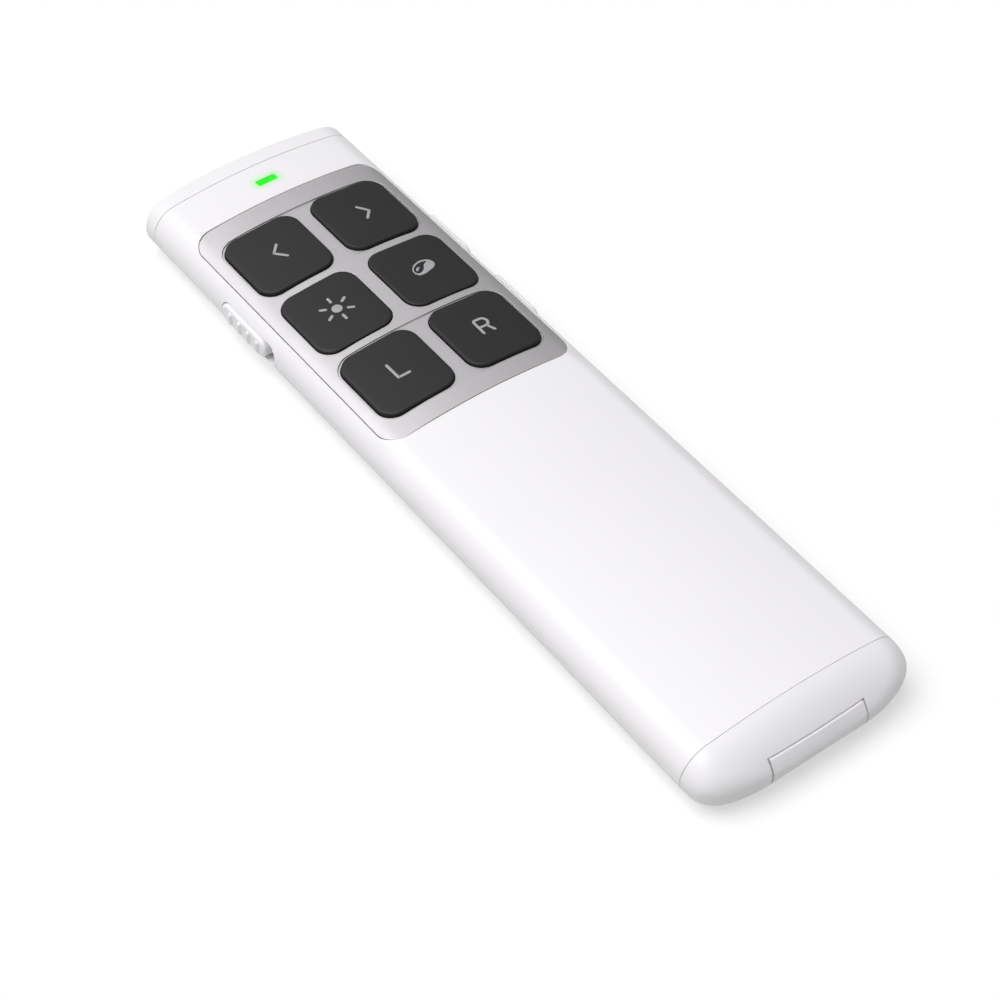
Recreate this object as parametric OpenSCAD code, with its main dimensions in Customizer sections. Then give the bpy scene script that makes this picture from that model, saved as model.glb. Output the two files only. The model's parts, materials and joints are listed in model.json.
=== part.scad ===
// Wireless presentation clicker, built as separate pieces.
// X is to the right, Y to the front (laser) end and Z up. The origin is on the flat underside, at mid-length.

/* [Casing] */
// length over both end caps
body_l = 132.5; // [131.5:0.5:136]
// width over the side walls, without slider and side keys
body_w = 35.4; // [35:0.1:37]
// height of the crown above the flat underside
body_h = 10; // [9.9:0.1:10.6]
// radius of the gently crowned top
crown_r = 100; // [90:5:120]
// radius between the crowned top and the side
shoulder_r = 4.3; // [4:0.1:4.5]
// height of the upright band on the side
side_flat = 0.06; // [0.02:0.02:0.3]
// wall thickness of the casing shells
wall = 1.2; // [1.1:0.05:1.3]
// height of the line where the two shells part
parting_z = 4.4; // [4.2:0.1:4.6]
// length of the front cap on the top face
front_cap_l = 3.35; // [3.2:0.05:3.8]
// length of the tail cap on the top face
tail_cap_l = 6.2; // [6:0.1:7]
// height of the outermost line of both ends
nose_z = 4.4; // [4:0.1:5]
// length of the end rounding of the front cap
front_round = 0.9; // [0.6:0.1:1.4]

/* [Keys] */
// distance between the keys of a row
key_split = 2.63; // [2.6:0.01:2.8]
// distance from a key to the long edge of the key panel
key_side = 2.18; // [2.1:0.01:2.3]
// distance between the key rows
row_pitch = 15; // [14.9:0.1:15.4]
// length of a key
key_l = 13.2; // [12.8:0.1:13.3]
// corner radius of a key
key_r = 2.6; // [2.2:0.1:3]
// height of a key above the key panel
key_rise = 0.3; // [0.25:0.05:0.4]
// travel of a key and of a side key
key_travel = 0.3; // [0.2:0.05:0.3]
// retaining rim round the foot of a key
key_rim = 0.6; // [0.5:0.05:0.6]
// gap round a key
key_gap = 0.12; // [0.1:0.01:0.2]

/* [Key panel] */
// distance from the side of the casing to the key panel
panel_side = 1.75; // [1.7:0.05:1.9]
// distance from the front end back to the key panel
panel_back = 11.3; // [11.2:0.1:11.6]
// distance from the outer key rows to the ends of the key panel
panel_end = 3.95; // [3.8:0.05:4.1]
// corner radius of the key panel
panel_r = 3.2; // [3:0.1:4]
// thickness of the key panel
panel_t = 0.7; // [0.6:0.05:0.8]
// thickness of the casing ledge under the key panel
ledge_t = 0.9; // [0.8:0.05:1]
// how far the key panel's middle lies in front of the middle key row
panel_ahead = 0.25; // [0:0.05:0.4]
// gap round the key panel
panel_gap = 0.12; // [0.1:0.01:0.2]
// depth of the shared pocket round the front pair and the rear pair of keys
pocket_depth = 0.25; // [0.15:0.05:0.3]
// width of that pocket's floor outside the keys
pocket_edge = 0.45; // [0.3:0.05:0.5]

/* [Side controls] */
// height of the middle of slider and side keys
side_z = 4.7; // [4.6:0.05:4.8]
// height of the slider and of the side keys
side_h = 3.2; // [3:0.1:3.3]
// gap round the slider and the side keys
side_gap = 0.15; // [0.12:0.01:0.2]
// inner face of the pads that the side controls bear on, in from the side
pad_in = 2.6; // [2.5:0.05:2.7]
// thickness of the retaining plates behind the side controls
plate_t = 0.8; // [0.7:0.05:0.8]
// height of those retaining plates
plate_h = 4.6; // [4.2:0.1:4.6]
// length of the power slider's thumb piece
slider_l = 11.5; // [11:0.1:12]
// travel of the power slider
slider_travel = 2.2; // [2:0.1:2.4]
// distance from the front end back to the middle of the slider
slider_back = 27.95; // [27.5:0.05:28.3]
// how far the slider's face stands out of the side
slider_rise = 0.25; // [0.2:0.05:0.5]
// length of a side key
side_key_l = 11; // [10.6:0.1:11.2]
// distance from the front end back to the front side key
side_key_back = 29.2; // [29:0.1:29.5]
// distance between the two side keys
side_key_pitch = 16.45; // [16.2:0.05:16.8]
// how far the side keys stand out of the side
side_key_rise = 0.5; // [0.4:0.05:0.6]

/* [Light, laser and charging] */
// width of the lit window
light_w = 3.3; // [3:0.1:3.5]
// length of the lit window
light_l = 1.1; // [1:0.1:1.2]
// distance from the front end back to the lit window
light_back = 7.35; // [7.2:0.05:7.5]
// distance from the left side in to the laser
laser_in = 11.2; // [11.1:0.1:11.3]
// outer diameter of the laser barrel
laser_d = 6; // [5.8:0.1:6]
// length of the laser barrel
laser_l = 10; // [9.5:0.1:10]
// diameter of the laser window
laser_window_d = 4.4; // [4:0.1:4.6]
// gap between the lit window's pipe and the charging socket, sideways
socket_gap = 0.88; // [0.8:0.02:0.96]
// outer width of the charging socket
socket_w = 8.94; // [8.9:0.02:9]
// outer height of the charging socket
socket_h = 3.16; // [3.1:0.02:3.2]
// length of the charging socket
socket_l = 7.3; // [7:0.1:7.4]

/* [Board and battery] */
// thickness of the main board
board_t = 1; // [0.8:0.1:1]
// height of the main board's underside
board_z = 3.6; // [3.6:0.05:3.7]
// length of the main board
board_l = 58.5; // [58:0.1:59]
// distance from the side of the casing in to the battery
battery_side = 5.7; // [5.3:0.1:6.7]
// distance between the battery and the main board
battery_gap = 3.8; // [3.4:0.2:6]
// distance from the top of the battery up to the top of the crown
battery_under = 2.9; // [2.7:0.1:3.5]

/* [Receiver] */
// width of the receiver's grip
grip_w = 15.4; // [15:0.1:15.6]
// height of the top of the receiver's grip
grip_top = 6.5; // [6.3:0.1:6.6]
// length of the receiver's grip
grip_l = 7.2; // [7:0.1:7.4]
// width of the receiver's plug
plug_w = 12; // [11.9:0.1:12.1]
// height of the receiver's plug
plug_h = 4.5; // [4.4:0.1:4.5]
// length of the receiver's plug in front of the grip
plug_l = 12; // [11.8:0.1:12.2]
// gap round the receiver's grip and plug
bay_gap = 0.22; // [0.2:0.01:0.25]

/* [Hidden] */
$fn = 96;

WHITE = [0.93, 0.93, 0.94];
SILVER = [0.72, 0.71, 0.73];
DARK = [0.2, 0.2, 0.21];
METAL = [0.75, 0.76, 0.78];
GREEN = [0.05, 0.3, 0.16];
BLACK = [0.08, 0.08, 0.09];
BRASS = [0.8, 0.64, 0.33];

half_w = body_w / 2;
front_y = body_l / 2;
tail_y = -body_l / 2;
seam_front = front_y - front_cap_l;
seam_tail = tail_y + tail_cap_l;

// centres of the arcs that make the casing's cross-section
crown_z = body_h - crown_r;
shoulder_x = half_w - shoulder_r;
shoulder_z = crown_z + sqrt(pow(crown_r - shoulder_r, 2) - pow(shoulder_x, 2));
crown_half = atan2(shoulder_x, shoulder_z - crown_z);
lower_r = shoulder_z - side_flat;
lower_x = half_w - lower_r;

panel_w = body_w - 2 * panel_side;
panel_l = 2 * row_pitch + key_l + 2 * panel_end;
key_w = (panel_w - key_split) / 2 - key_side;
column_pitch = key_w + key_split;
panel_y = front_y - panel_back - panel_l / 2;
mid_row_y = panel_y - panel_ahead;
ledge_in = panel_t + ledge_t;
key_foot_t = 0.7;
board_top = board_z + board_t;
board_front = front_y - 4.6;
pad_x = half_w - pad_in;
board_half = pad_x - plate_t - 0.7;
slot_y = front_y - slider_back - slider_travel / 2;
slot_l = slider_l + slider_travel + 2 * side_gap;
slot_h = side_h + 2 * side_gap;
slider_y = front_y - slider_back;
stem_top = 7;
switch_h = 1.9;
switch_w = 4.2;
stem_d = 2.2;
side_switch_h = 1.5;
side_stem_z = board_top + 0.9;
light_y = front_y - light_back;
laser_x = laser_in - half_w;
laser_z = 5;
laser_front = front_y - 2.25;
laser_rear = laser_front - laser_l;
laser_bore_d = laser_d - 1.4;
window_t = 0.9;
window_y = front_y - 1.5;
socket_x = light_w / 2 + socket_gap + socket_w / 2;
socket_front = front_y - 0.85;
socket_z = board_top + socket_h / 2;
grip_in_y = tail_y + grip_l;
grip_lift = 0.1;
plug_z = wall + 0.05;
plug_tip_y = grip_in_y + plug_l;
plug_root = 1.5;
sheet_t = 0.3;
sleeve_t = 1;
sleeve_y = plug_tip_y + 1.2;
board_rear = board_front - board_l;
battery_z = wall + 0.3;
battery_w = body_w - 2 * battery_side;
battery_t = body_h - battery_under - battery_z;
battery_rear = sleeve_y + 3.2;
battery_front = board_rear - battery_gap;
battery_l = battery_front - battery_rear;
screw_r = 0.8;
rear_screw = [half_w - 6.9, sleeve_y - 4.15];
front_screw = [half_w - 5.5, laser_rear + 0.6];
board_screw_r = 0.6;
board_screw_x = board_half - 2.6;
board_screw_points = [
    [-board_screw_x, board_rear + 2.2],
    [board_screw_x, board_rear + 2.2],
    [0, light_y - 11.4]];

// points of an arc about (cx, cz), angles from the +X axis
function arc(cx, cz, r, from, to, steps) =
    [for (i = [0 : steps]) let (a = from + (to - from) * i / steps) [cx + r * cos(a), cz + r * sin(a)]];

// the casing's cross-section as points, once round from the middle of the underside
function ring() = concat(
    arc(lower_x, lower_r, lower_r, -90, 0, 8),
    arc(shoulder_x, shoulder_z, shoulder_r, 0, 90 - crown_half, 8),
    arc(0, crown_z, crown_r, 90 - crown_half + 1, 90 + crown_half - 1, 14),
    arc(-shoulder_x, shoulder_z, shoulder_r, 90 + crown_half, 180, 8),
    arc(-lower_x, lower_r, lower_r, 180, 270, 8));

// size left at share w of the way to the end, for an end curve of power n
function left_over(w, n) = pow(1 - pow(w, n), 1 / n);

// the cross-section at share w of an end, drawn in towards the line at height nose
function end_ring(y, w, nose, n_side, n_top, n_under) =
    [for (p = ring()) [p[0] * left_over(w, n_side), y,
        nose + (p[1] - nose) * left_over(w, p[1] > nose ? n_top : n_under)]];

// solid that closes the casing from the seam to y1, rounded in plan and in side view from y0 on
module end_solid(seam, y0, y1, nose, n_side, n_top, n_under) {
    curve = [for (k = [0 : 11]) let (w = sin(85 * k / 11))
        end_ring(y0 + (y1 - y0) * w / sin(85), w * 0.999, nose, n_side, n_top, n_under)];
    rings = seam == y0 ? curve : concat([end_ring(seam, 0, nose, n_side, n_top, n_under)], curve);
    steps = len(rings) - 1;
    n = len(rings[0]);
    sides = [for (k = [0 : steps - 1], i = [0 : n - 1]) let (j = (i + 1) % n, a = k * n, b = a + n)
        y1 > y0 ? [a + i, a + j, b + j, b + i] : [b + i, b + j, a + j, a + i]];
    near = [for (i = [0 : n - 1]) y1 > y0 ? n - 1 - i : i];
    far = [for (i = [0 : n - 1]) steps * n + (y1 > y0 ? i : n - 1 - i)];
    polyhedron(points = [for (r = rings, p = r) p], faces = concat(sides, [near], [far]), convexity = 4);
}

module tail_solid() {
    end_solid(seam_tail, seam_tail, tail_y, nose_z, 3.2, 1.45, 2.2);
}

module front_solid() {
    end_solid(seam_front, front_y - front_round, front_y, nose_z, 1.7, 3, 3);
}

// the casing's cross-section, d under the skin
module section(d) {
    reach = shoulder_r + 2;
    for (side = [-1, 1]) {
        translate([side * shoulder_x, shoulder_z]) circle(shoulder_r - d);
        translate([side * lower_x, lower_r]) circle(lower_r - d);
    }
    intersection() {
        translate([0, crown_z]) circle(crown_r - d, $fn = 720);
        polygon([[-shoulder_x, shoulder_z], [shoulder_x, shoulder_z],
            [shoulder_x + reach * sin(crown_half), shoulder_z + reach * cos(crown_half)],
            [-shoulder_x - reach * sin(crown_half), shoulder_z + reach * cos(crown_half)]]);
    }
    translate([d - half_w, lower_r]) square([body_w - 2 * d, shoulder_z - lower_r]);
    translate([-lower_x, d]) square([2 * lower_x, lower_r - d]);
}

// the casing d under the skin, as a bar from y0 to y1
module tube(d, y0, y1) {
    translate([0, y1, 0]) rotate([90, 0, 0]) linear_extrude(y1 - y0) section(d);
}

// hollow bar between the depths d0 and d1
module skin(d0, d1, y0, y1) {
    difference() {
        tube(d0, y0, y1);
        tube(d1, y0 - 1, y1 + 1);
    }
}

// box from its lowest corner to its highest
module box(low, high) {
    translate(low) cube([high[0] - low[0], high[1] - low[1], high[2] - low[2]]);
}

// rounded rectangle about the origin
module rounded(w, l, r) {
    square([w - 2 * r, l], center = true);
    square([w, l - 2 * r], center = true);
    for (sx = [-1, 1], sy = [-1, 1])
        translate([sx * (w / 2 - r), sy * (l / 2 - r)]) circle(r);
}

// upright bar with rounded corners about (x, y)
module pillar(x, y, w, l, r, z0, z1) {
    translate([x, y, z0]) linear_extrude(z1 - z0) rounded(w, l, r);
}

// round upright bar
module post(x, y, r, z0, z1) {
    translate([x, y, z0]) cylinder(r = r, h = z1 - z0);
}

// bar along X with fully rounded ends, from x0 to x1 on the right side
module pill(y, length, height, x0, x1) {
    translate([x0, y, side_z]) rotate([90, 0, 90])
        linear_extrude(x1 - x0) rounded(length, height, height / 2 - 0.01);
}

// the same on the left side
module left() {
    mirror([1, 0, 0]) children();
}

function key_x(column) = column * column_pitch / 2;
function key_y(row) = mid_row_y + row * row_pitch;
function side_key_y(index) = front_y - side_key_back - index * side_key_pitch;

// one opening for each key, grown by the given amount
module key_openings(grow, z0, z1) {
    for (column = [-1, 1], row = [-1, 0, 1])
        pillar(key_x(column), key_y(row), key_w + 2 * grow, key_l + 2 * grow, key_r + grow, z0, z1);
}

// openings in the sides for the slider and the two side keys
module side_openings() {
    left() pill(slot_y, slot_l, slot_h, pad_x - 1, half_w + 1);
    for (index = [0, 1])
        pill(side_key_y(index), side_key_l + 2 * side_gap, slot_h, pad_x - 1, half_w + 1);
}

// flat-faced pads inside the side walls, which the retaining plates bear on
module side_pads() {
    slider_pad = slot_l / 2 + 4;
    key_pad = side_key_l / 2 + 2.5;
    pad_out = half_w - wall / 2;
    pad_top = body_h - 2.2;
    left() box([pad_x, slot_y - slider_pad, wall / 2], [pad_out, slot_y + slider_pad, pad_top]);
    box([pad_x, side_key_y(1) - key_pad, wall / 2], [pad_out, side_key_y(0) + key_pad, pad_top]);
}

module screw_points(r, z0, z1) {
    for (side = [-1, 1], p = [rear_screw, front_screw])
        post(side * p[0], p[1], r, z0, z1);
}

// space that the receiver's grip and plug are parked in
module receiver_bay() {
    grip_reach = grip_w / 2 + bay_gap;
    plug_reach = plug_w / 2 + bay_gap;
    box([-grip_reach, tail_y - 2, -1], [grip_reach, grip_in_y + bay_gap, grip_top + bay_gap]);
    box([-plug_reach, grip_in_y, wall], [plug_reach, plug_tip_y + bay_gap, plug_z + plug_h + bay_gap]);
}

module top_shell() color(WHITE)
difference() {
    union() {
        skin(0, wall, seam_tail, seam_front);
        intersection() {
            skin(panel_t, ledge_in, seam_tail + 1, seam_front - 0.5);
            pillar(0, panel_y, panel_w + 2.4, panel_l + 2.4, panel_r + 1.2, shoulder_z + 1.2, body_h + 1);
        }
        intersection() {
            tube(wall / 2, seam_tail + 1, seam_front - 1);
            union() {
                side_pads();
                screw_points(2.1, parting_z, body_h);
            }
        }
    }
    box([-half_w - 1, seam_tail - 1, -1], [half_w + 1, seam_front + 1, parting_z]);
    difference() {
        pillar(0, panel_y, panel_w + 2 * panel_gap, panel_l + 2 * panel_gap, panel_r + panel_gap,
            parting_z, body_h + 1);
        tube(panel_t, panel_y - panel_l, panel_y + panel_l);
    }
    key_openings(key_gap, shoulder_z + 1, body_h + 1);
    pillar(0, light_y, light_w + 0.1, light_l + 0.1, 0.2, shoulder_z, body_h + 1);
    side_openings();
    screw_points(screw_r, 0, parting_z + 3.2);
}

module bottom_shell() color(WHITE)
difference() {
    union() {
        difference() {
            union() {
                skin(0, wall, seam_tail, seam_front);
                intersection() {
                    tube(wall / 2, seam_tail + 1, seam_front - 1);
                    union() {
                        side_pads();
                        screw_points(2.3, wall / 2, parting_z);
                    }
                }
            }
            box([-half_w - 1, seam_tail - 1, parting_z], [half_w + 1, seam_front + 1, body_h + 1]);
        }
        casing_lips();
        board_posts();
        laser_cradle();
        box([-10, battery_rear - 1.2, wall / 2], [10, battery_rear, parting_z]);
    }
    side_openings();
    receiver_bay();
    screw_points(screw_r + 0.1, -1, body_h);
    screw_points(1.75, -1, 1.5);
}

// thin lips along both sides of the lower shell that stand inside the upper shell
module casing_lips() {
    intersection() {
        skin(wall, wall + 0.6, sleeve_y + 1.5, board_rear + 5);
        box([-half_w, tail_y, parting_z - 1.6], [half_w, front_y, parting_z + 1]);
    }
}

// posts under the main board, with holes for its screws
module board_posts() {
    for (p = board_screw_points)
        difference() {
            post(p[0], p[1], 1.8, wall / 2, board_z);
            post(p[0], p[1], board_screw_r, 0, board_z + 1);
        }
}

// saddle under the laser barrel
module laser_cradle() {
    difference() {
        box([laser_x - 2.6, laser_rear + 4, wall / 2], [laser_x + 2.6, laser_rear + 6, laser_z - 1.2]);
        translate([laser_x, laser_rear, laser_z]) rotate([-90, 0, 0]) cylinder(d = laser_d, h = laser_l);
    }
}

module front_cap() color(WHITE)
difference() {
    union() {
        front_solid();
        intersection() {
            skin(wall, wall + 1, seam_front - 2.4, seam_front + 0.5);
            box([-half_w, 0, 0], [half_w, front_y, 3.2]);
        }
    }
    translate([laser_x, 0, laser_z]) rotate([-90, 0, 0]) {
        cylinder(d = laser_d, h = laser_front);
        cylinder(d = 3.2, h = front_y + 1);
        translate([0, 0, window_y]) cylinder(d = laser_window_d, h = 4);
    }
    socket_solid(0.12, socket_front - socket_l, front_y + 1);
}

module tail_cap() color(WHITE)
difference() {
    union() {
        tail_solid();
        intersection() {
            skin(wall, wall + 1, seam_tail - 0.5, seam_tail + 2.4);
            box([-half_w, tail_y, 0], [half_w, 0, 3.2]);
        }
        box([-grip_w / 2 - 1.4, seam_tail - 0.5, wall], [grip_w / 2 + 1.4, grip_in_y + 1.2, grip_top + 1.2]);
        box([-plug_w / 2 - 1.2, grip_in_y, wall], [plug_w / 2 + 1.2, sleeve_y, plug_z + plug_h + sleeve_t]);
    }
    receiver_bay();
    for (x = [5.9 - half_w, half_w - 5.9])
        box([x - 2, seam_tail - 2.6, wall + 0.6], [x + 2, seam_tail + 4, body_h - 2.6]);
}

module key_panel() color(SILVER)
difference() {
    intersection() {
        skin(0, panel_t, panel_y - panel_l, panel_y + panel_l);
        pillar(0, panel_y, panel_w, panel_l, panel_r, shoulder_z, body_h + 1);
    }
    key_openings(key_gap, parting_z, body_h + 1);
    for (row = [-1, 1])
        difference() {
            pillar(0, key_y(row), column_pitch + key_w + 2 * pocket_edge, key_l + 2 * pocket_edge,
                key_r + pocket_edge, parting_z, body_h + 1);
            tube(pocket_depth, panel_y - panel_l, panel_y + panel_l);
        }
}

// hollow key with a retaining rim at its foot and a peg that meets the switch stem
module key(column, row) {
    x = key_x(column);
    y = key_y(row);
    inner_edge = x - column * (key_w / 2 + key_rim);
    outer_edge = x + column * key_w / 2;
    difference() {
        union() {
            intersection() {
                tube(-key_rise, y - key_l, y + key_l);
                pillar(x, y, key_w, key_l, key_r, board_top, body_h + 1);
            }
            intersection() {
                tube(ledge_in, y - key_l, y + key_l);
                pillar((inner_edge + outer_edge) / 2, y, key_w + key_rim, key_l + 2 * key_rim, key_r,
                    board_top, body_h);
            }
        }
        tube(ledge_in + key_foot_t, y - key_l, y + key_l);
        intersection() {
            tube(0.9, y - key_l, y + key_l);
            pillar(x, y, key_w - 2, key_l - 2, key_r - 1, board_top, body_h);
        }
    }
    intersection() {
        tube(0.5, y - key_l, y + key_l);
        post(x, y, 1.6, stem_top, body_h);
    }
}

// stem of the switch under a key
module stem(column, row) {
    post(key_x(column), key_y(row), stem_d / 2, board_top + 0.75 + key_travel, stem_top);
}

module key_previous() color(DARK) key(-1, 1);

module key_next() color(DARK) key(1, 1);

module key_highlight() color(DARK) key(-1, 0);

module key_screen() color(DARK) key(1, 0);

module key_left() color(DARK) key(-1, -1);

module key_right() color(DARK) key(1, -1);

module stem_previous() color(BLACK) stem(-1, 1);

module stem_next() color(BLACK) stem(1, 1);

module stem_highlight() color(BLACK) stem(-1, 0);

module stem_screen() color(BLACK) stem(1, 0);

module stem_left() color(BLACK) stem(-1, -1);

module stem_right() color(BLACK) stem(1, -1);

module key_switch_bodies() color(METAL)
for (column = [-1, 1], row = [-1, 0, 1])
    difference() {
        pillar(key_x(column), key_y(row), switch_w, switch_w, 0.4, board_top, board_top + switch_h);
        post(key_x(column), key_y(row), stem_d / 2 + 0.08, board_top + 0.7, board_top + 3);
    }

// cap of a side key with the retaining plate behind it
module side_key(index) {
    y = side_key_y(index);
    pill(y, side_key_l, side_h, pad_x - plate_t, half_w + side_key_rise);
    box([pad_x - plate_t, y - side_key_l / 2 - 0.9, side_z - plate_h / 2],
        [pad_x, y + side_key_l / 2 + 0.9, side_z + plate_h / 2]);
}

module side_key_front() color(WHITE) side_key(0);

module side_key_rear() color(WHITE) side_key(1);

module side_stem(index) {
    y = side_key_y(index);
    box([board_half - 2.2, y - 0.8, side_stem_z - 0.4], [pad_x - plate_t, y + 0.8, side_stem_z + 0.4]);
}

module side_stem_front() color(BLACK) side_stem(0);

module side_stem_rear() color(BLACK) side_stem(1);

module side_switch_bodies() color(METAL)
for (index = [0, 1]) {
    y = side_key_y(index);
    difference() {
        box([board_half - 3.2, y - 2.3, board_top], [board_half - 0.6, y + 2.3, board_top + side_switch_h]);
        box([board_half - 2.3 - key_travel, y - 0.88, side_stem_z - 0.48],
            [board_half, y + 0.88, side_stem_z + 0.48]);
    }
}

module power_slider() color(WHITE)
left() {
    difference() {
        union() {
            pill(slider_y, slider_l, side_h, pad_x - plate_t, half_w + slider_rise);
            box([pad_x - plate_t, slider_y - slider_l / 2 - 3, side_z - plate_h / 2],
                [pad_x, slider_y + slider_l / 2 + 3, side_z + plate_h / 2]);
        }
        box([pad_x - plate_t - 1, slider_y - 0.8, side_stem_z - 0.55],
            [pad_x - 0.2, slider_y + 0.8, side_stem_z + 0.55]);
    }
    for (rib = [0 : 3])
        translate([half_w + slider_rise - 0.2, slider_y - 0.4 + (rib - 1.5) * slider_l / 4.85, side_z - 1.1])
            cylinder(r = 0.45, h = 2.2);
}

module power_switch_lever() color(BLACK)
left() box([board_half - 2.2, slider_y - 0.65, side_stem_z - 0.4],
    [pad_x - 0.3, slider_y + 0.65, side_stem_z + 0.4]);

module power_switch_body() color(METAL)
left() difference() {
    box([board_half - 3.4, slot_y - 4, board_top], [board_half - 0.6, slot_y + 4, board_top + side_switch_h]);
    box([board_half - 2.5, slot_y - slider_travel / 2 - 0.75, side_stem_z - 0.48],
        [board_half, slot_y + slider_travel / 2 + 0.75, side_stem_z + 0.48]);
}

module main_board() color(GREEN)
difference() {
    box([-board_half, board_rear, board_z], [board_half, board_front, board_top]);
    box([laser_x - laser_d / 2 - 0.3, laser_rear - 0.4, 0], [laser_x + laser_d / 2 + 0.3, front_y, body_h]);
    for (side = [-1, 1])
        box([side * (front_screw[0] + 1) - 3.6, front_screw[1] - 2.6, 0],
            [side * (front_screw[0] + 1) + 3.6, front_y, body_h]);
    for (p = board_screw_points)
        post(p[0], p[1], board_screw_r + 0.1, 0, body_h);
}

// flat electronic part about (x, y) on top of the main board
module chip(x, y, w, l, h) {
    box([x - w / 2, y - l / 2, board_top], [x + w / 2, y + l / 2, board_top + h]);
}

module radio_chip() color(BLACK) chip(0, mid_row_y - 9, 5, 5, 0.9);

module radio_crystal() color(METAL) chip(0, mid_row_y - 3.6, 3.2, 2.5, 0.8);

module chip_antenna() color(WHITE) chip(0, front_y - 13.4, 5.2, 2, 1.1);

module motion_sensor() color(BLACK) chip(0, mid_row_y + 6, 3, 3, 0.9);

module charge_chip() color(BLACK) chip(0, mid_row_y - 20, 3, 3, 0.9);

module status_led() color(GREEN) chip(0, light_y, 1.6, 0.9, 0.6);

module light_pipe() color([0.15, 0.95, 0.2])
intersection() {
    tube(0, seam_front - 12, seam_front);
    union() {
        pillar(0, light_y, light_w, light_l, 0.15, board_top + 0.7, body_h + 1);
        intersection() {
            tube(wall, seam_front - 12, seam_front);
            pillar(0, light_y, light_w + 1.4, light_l + 1.4, 0.5, body_h - wall - 0.8, body_h);
        }
    }
}

module laser_barrel() color(BRASS)
translate([laser_x, laser_rear, laser_z]) rotate([-90, 0, 0])
difference() {
    cylinder(d = laser_d, h = laser_l);
    translate([0, 0, 1.2]) cylinder(d = laser_bore_d, h = laser_l);
    translate([0, 0, -1]) cylinder(d = 2.6, h = 4);
}

module laser_diode() color(METAL)
translate([laser_x, laser_rear, laser_z]) rotate([-90, 0, 0]) {
    translate([0, 0, 1.2]) cylinder(d = laser_bore_d, h = 0.9);
    translate([0, 0, 1.2]) cylinder(d = 3.4, h = 2.6);
}

module laser_lens() color([0.75, 0.85, 0.95, 0.5])
translate([laser_x, laser_rear, laser_z]) rotate([-90, 0, 0])
    translate([0, 0, laser_l - 2.4]) cylinder(d = laser_bore_d, h = 1.4);

module laser_leads() color([0.7, 0.1, 0.1])
for (side = [-1, 1]) {
    x = laser_x + side * 0.7;
    translate([x, laser_rear - 3, laser_z]) rotate([-90, 0, 0]) cylinder(r = 0.3, h = 4.2);
    box([x - 0.5, laser_rear - 3.2, board_top], [x + 0.5, laser_rear - 1.8, laser_z + 0.2]);
}

module laser_window() color([0.25, 0.1, 0.1])
translate([laser_x, window_y, laser_z]) rotate([-90, 0, 0]) cylinder(d = laser_window_d, h = window_t);

// outline of the charging socket, grown by g, from y0 to y1
module socket_solid(g, y0, y1) {
    translate([socket_x, y1, socket_z]) rotate([90, 0, 0])
        linear_extrude(y1 - y0) rounded(socket_w + 2 * g, socket_h + 2 * g, socket_h / 2 - 0.1 + g);
}

module charging_socket_shell() color(METAL)
difference() {
    socket_solid(0, socket_front - socket_l, socket_front);
    socket_solid(-sheet_t, socket_front - socket_l - 1, socket_front + 1);
}

module charging_socket_tongue() color(BLACK) {
    socket_solid(-sheet_t, socket_front - socket_l, socket_front - socket_l + 1.8);
    box([socket_x - 3.35, socket_front - socket_l + 1, socket_z - 0.35],
        [socket_x + 3.35, socket_front - 0.9, socket_z + 0.35]);
}

module battery_cell() color([0.7, 0.72, 0.74])
pillar(0, (battery_rear + battery_front) / 2, battery_w, battery_l, 1.5, battery_z, battery_z + battery_t);

module battery_tape() color(BLACK)
box([-battery_w / 3, battery_rear + battery_l / 14, wall],
    [battery_w / 3, battery_front - battery_l / 14, battery_z]);

module battery_board() color(GREEN)
box([-battery_w * 0.3, battery_front, battery_z + 0.4],
    [battery_w * 0.3, battery_front + 0.8, battery_z + battery_t - 0.6]);

module battery_leads() color([0.7, 0.1, 0.1])
for (side = [-1, 1]) {
    x = side * 3;
    translate([x, battery_front + 0.8, board_top + 0.4]) rotate([-90, 0, 0])
        cylinder(r = 0.4, h = board_rear + 2.4 - battery_front - 0.8);
    box([x - 0.7, board_rear + 1.2, board_top], [x + 0.7, board_rear + 3, board_top + 0.7]);
}

module receiver_grip() color(WHITE)
difference() {
    intersection() {
        union() {
            tail_solid();
            box([-grip_w, seam_tail, 0], [grip_w, grip_in_y, body_h]);
        }
        box([-grip_w / 2, tail_y - 1, grip_lift], [grip_w / 2, grip_in_y, grip_top]);
    }
    box([-plug_w / 2, grip_in_y - plug_root, plug_z], [plug_w / 2, grip_in_y + 1, plug_z + plug_h]);
}

module receiver_plug_shell() color(METAL)
difference() {
    box([-plug_w / 2, grip_in_y - plug_root, plug_z], [plug_w / 2, plug_tip_y, plug_z + plug_h]);
    box([sheet_t - plug_w / 2, grip_in_y - plug_root - 1, plug_z + sheet_t],
        [plug_w / 2 - sheet_t, plug_tip_y + 1, plug_z + plug_h - sheet_t]);
    for (side = [-1, 1])
        box([side * plug_w / 4 - 1.15, plug_tip_y - 7.4, plug_z - 1],
            [side * plug_w / 4 + 1.15, plug_tip_y - 5.2, plug_z + plug_h + 1]);
}

module receiver_tongue() color(BLACK) {
    inner_w = plug_w - 2 * sheet_t;
    box([-inner_w / 2, grip_in_y - plug_root, plug_z + sheet_t],
        [inner_w / 2, grip_in_y, plug_z + plug_h - sheet_t]);
    box([-inner_w / 2, grip_in_y, plug_z + plug_h - sheet_t - 1.9],
        [inner_w / 2, plug_tip_y - 0.4, plug_z + plug_h - sheet_t]);
}

module receiver_contacts() color(BRASS)
for (place = [-1.5 : 1.5])
    let (x = place * plug_w / 5.2)
    box([x - plug_w / 24, grip_in_y, plug_z + plug_h - sheet_t - 2.1],
        [x + plug_w / 24, plug_tip_y - 1.4, plug_z + plug_h - sheet_t - 1.9]);

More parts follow.
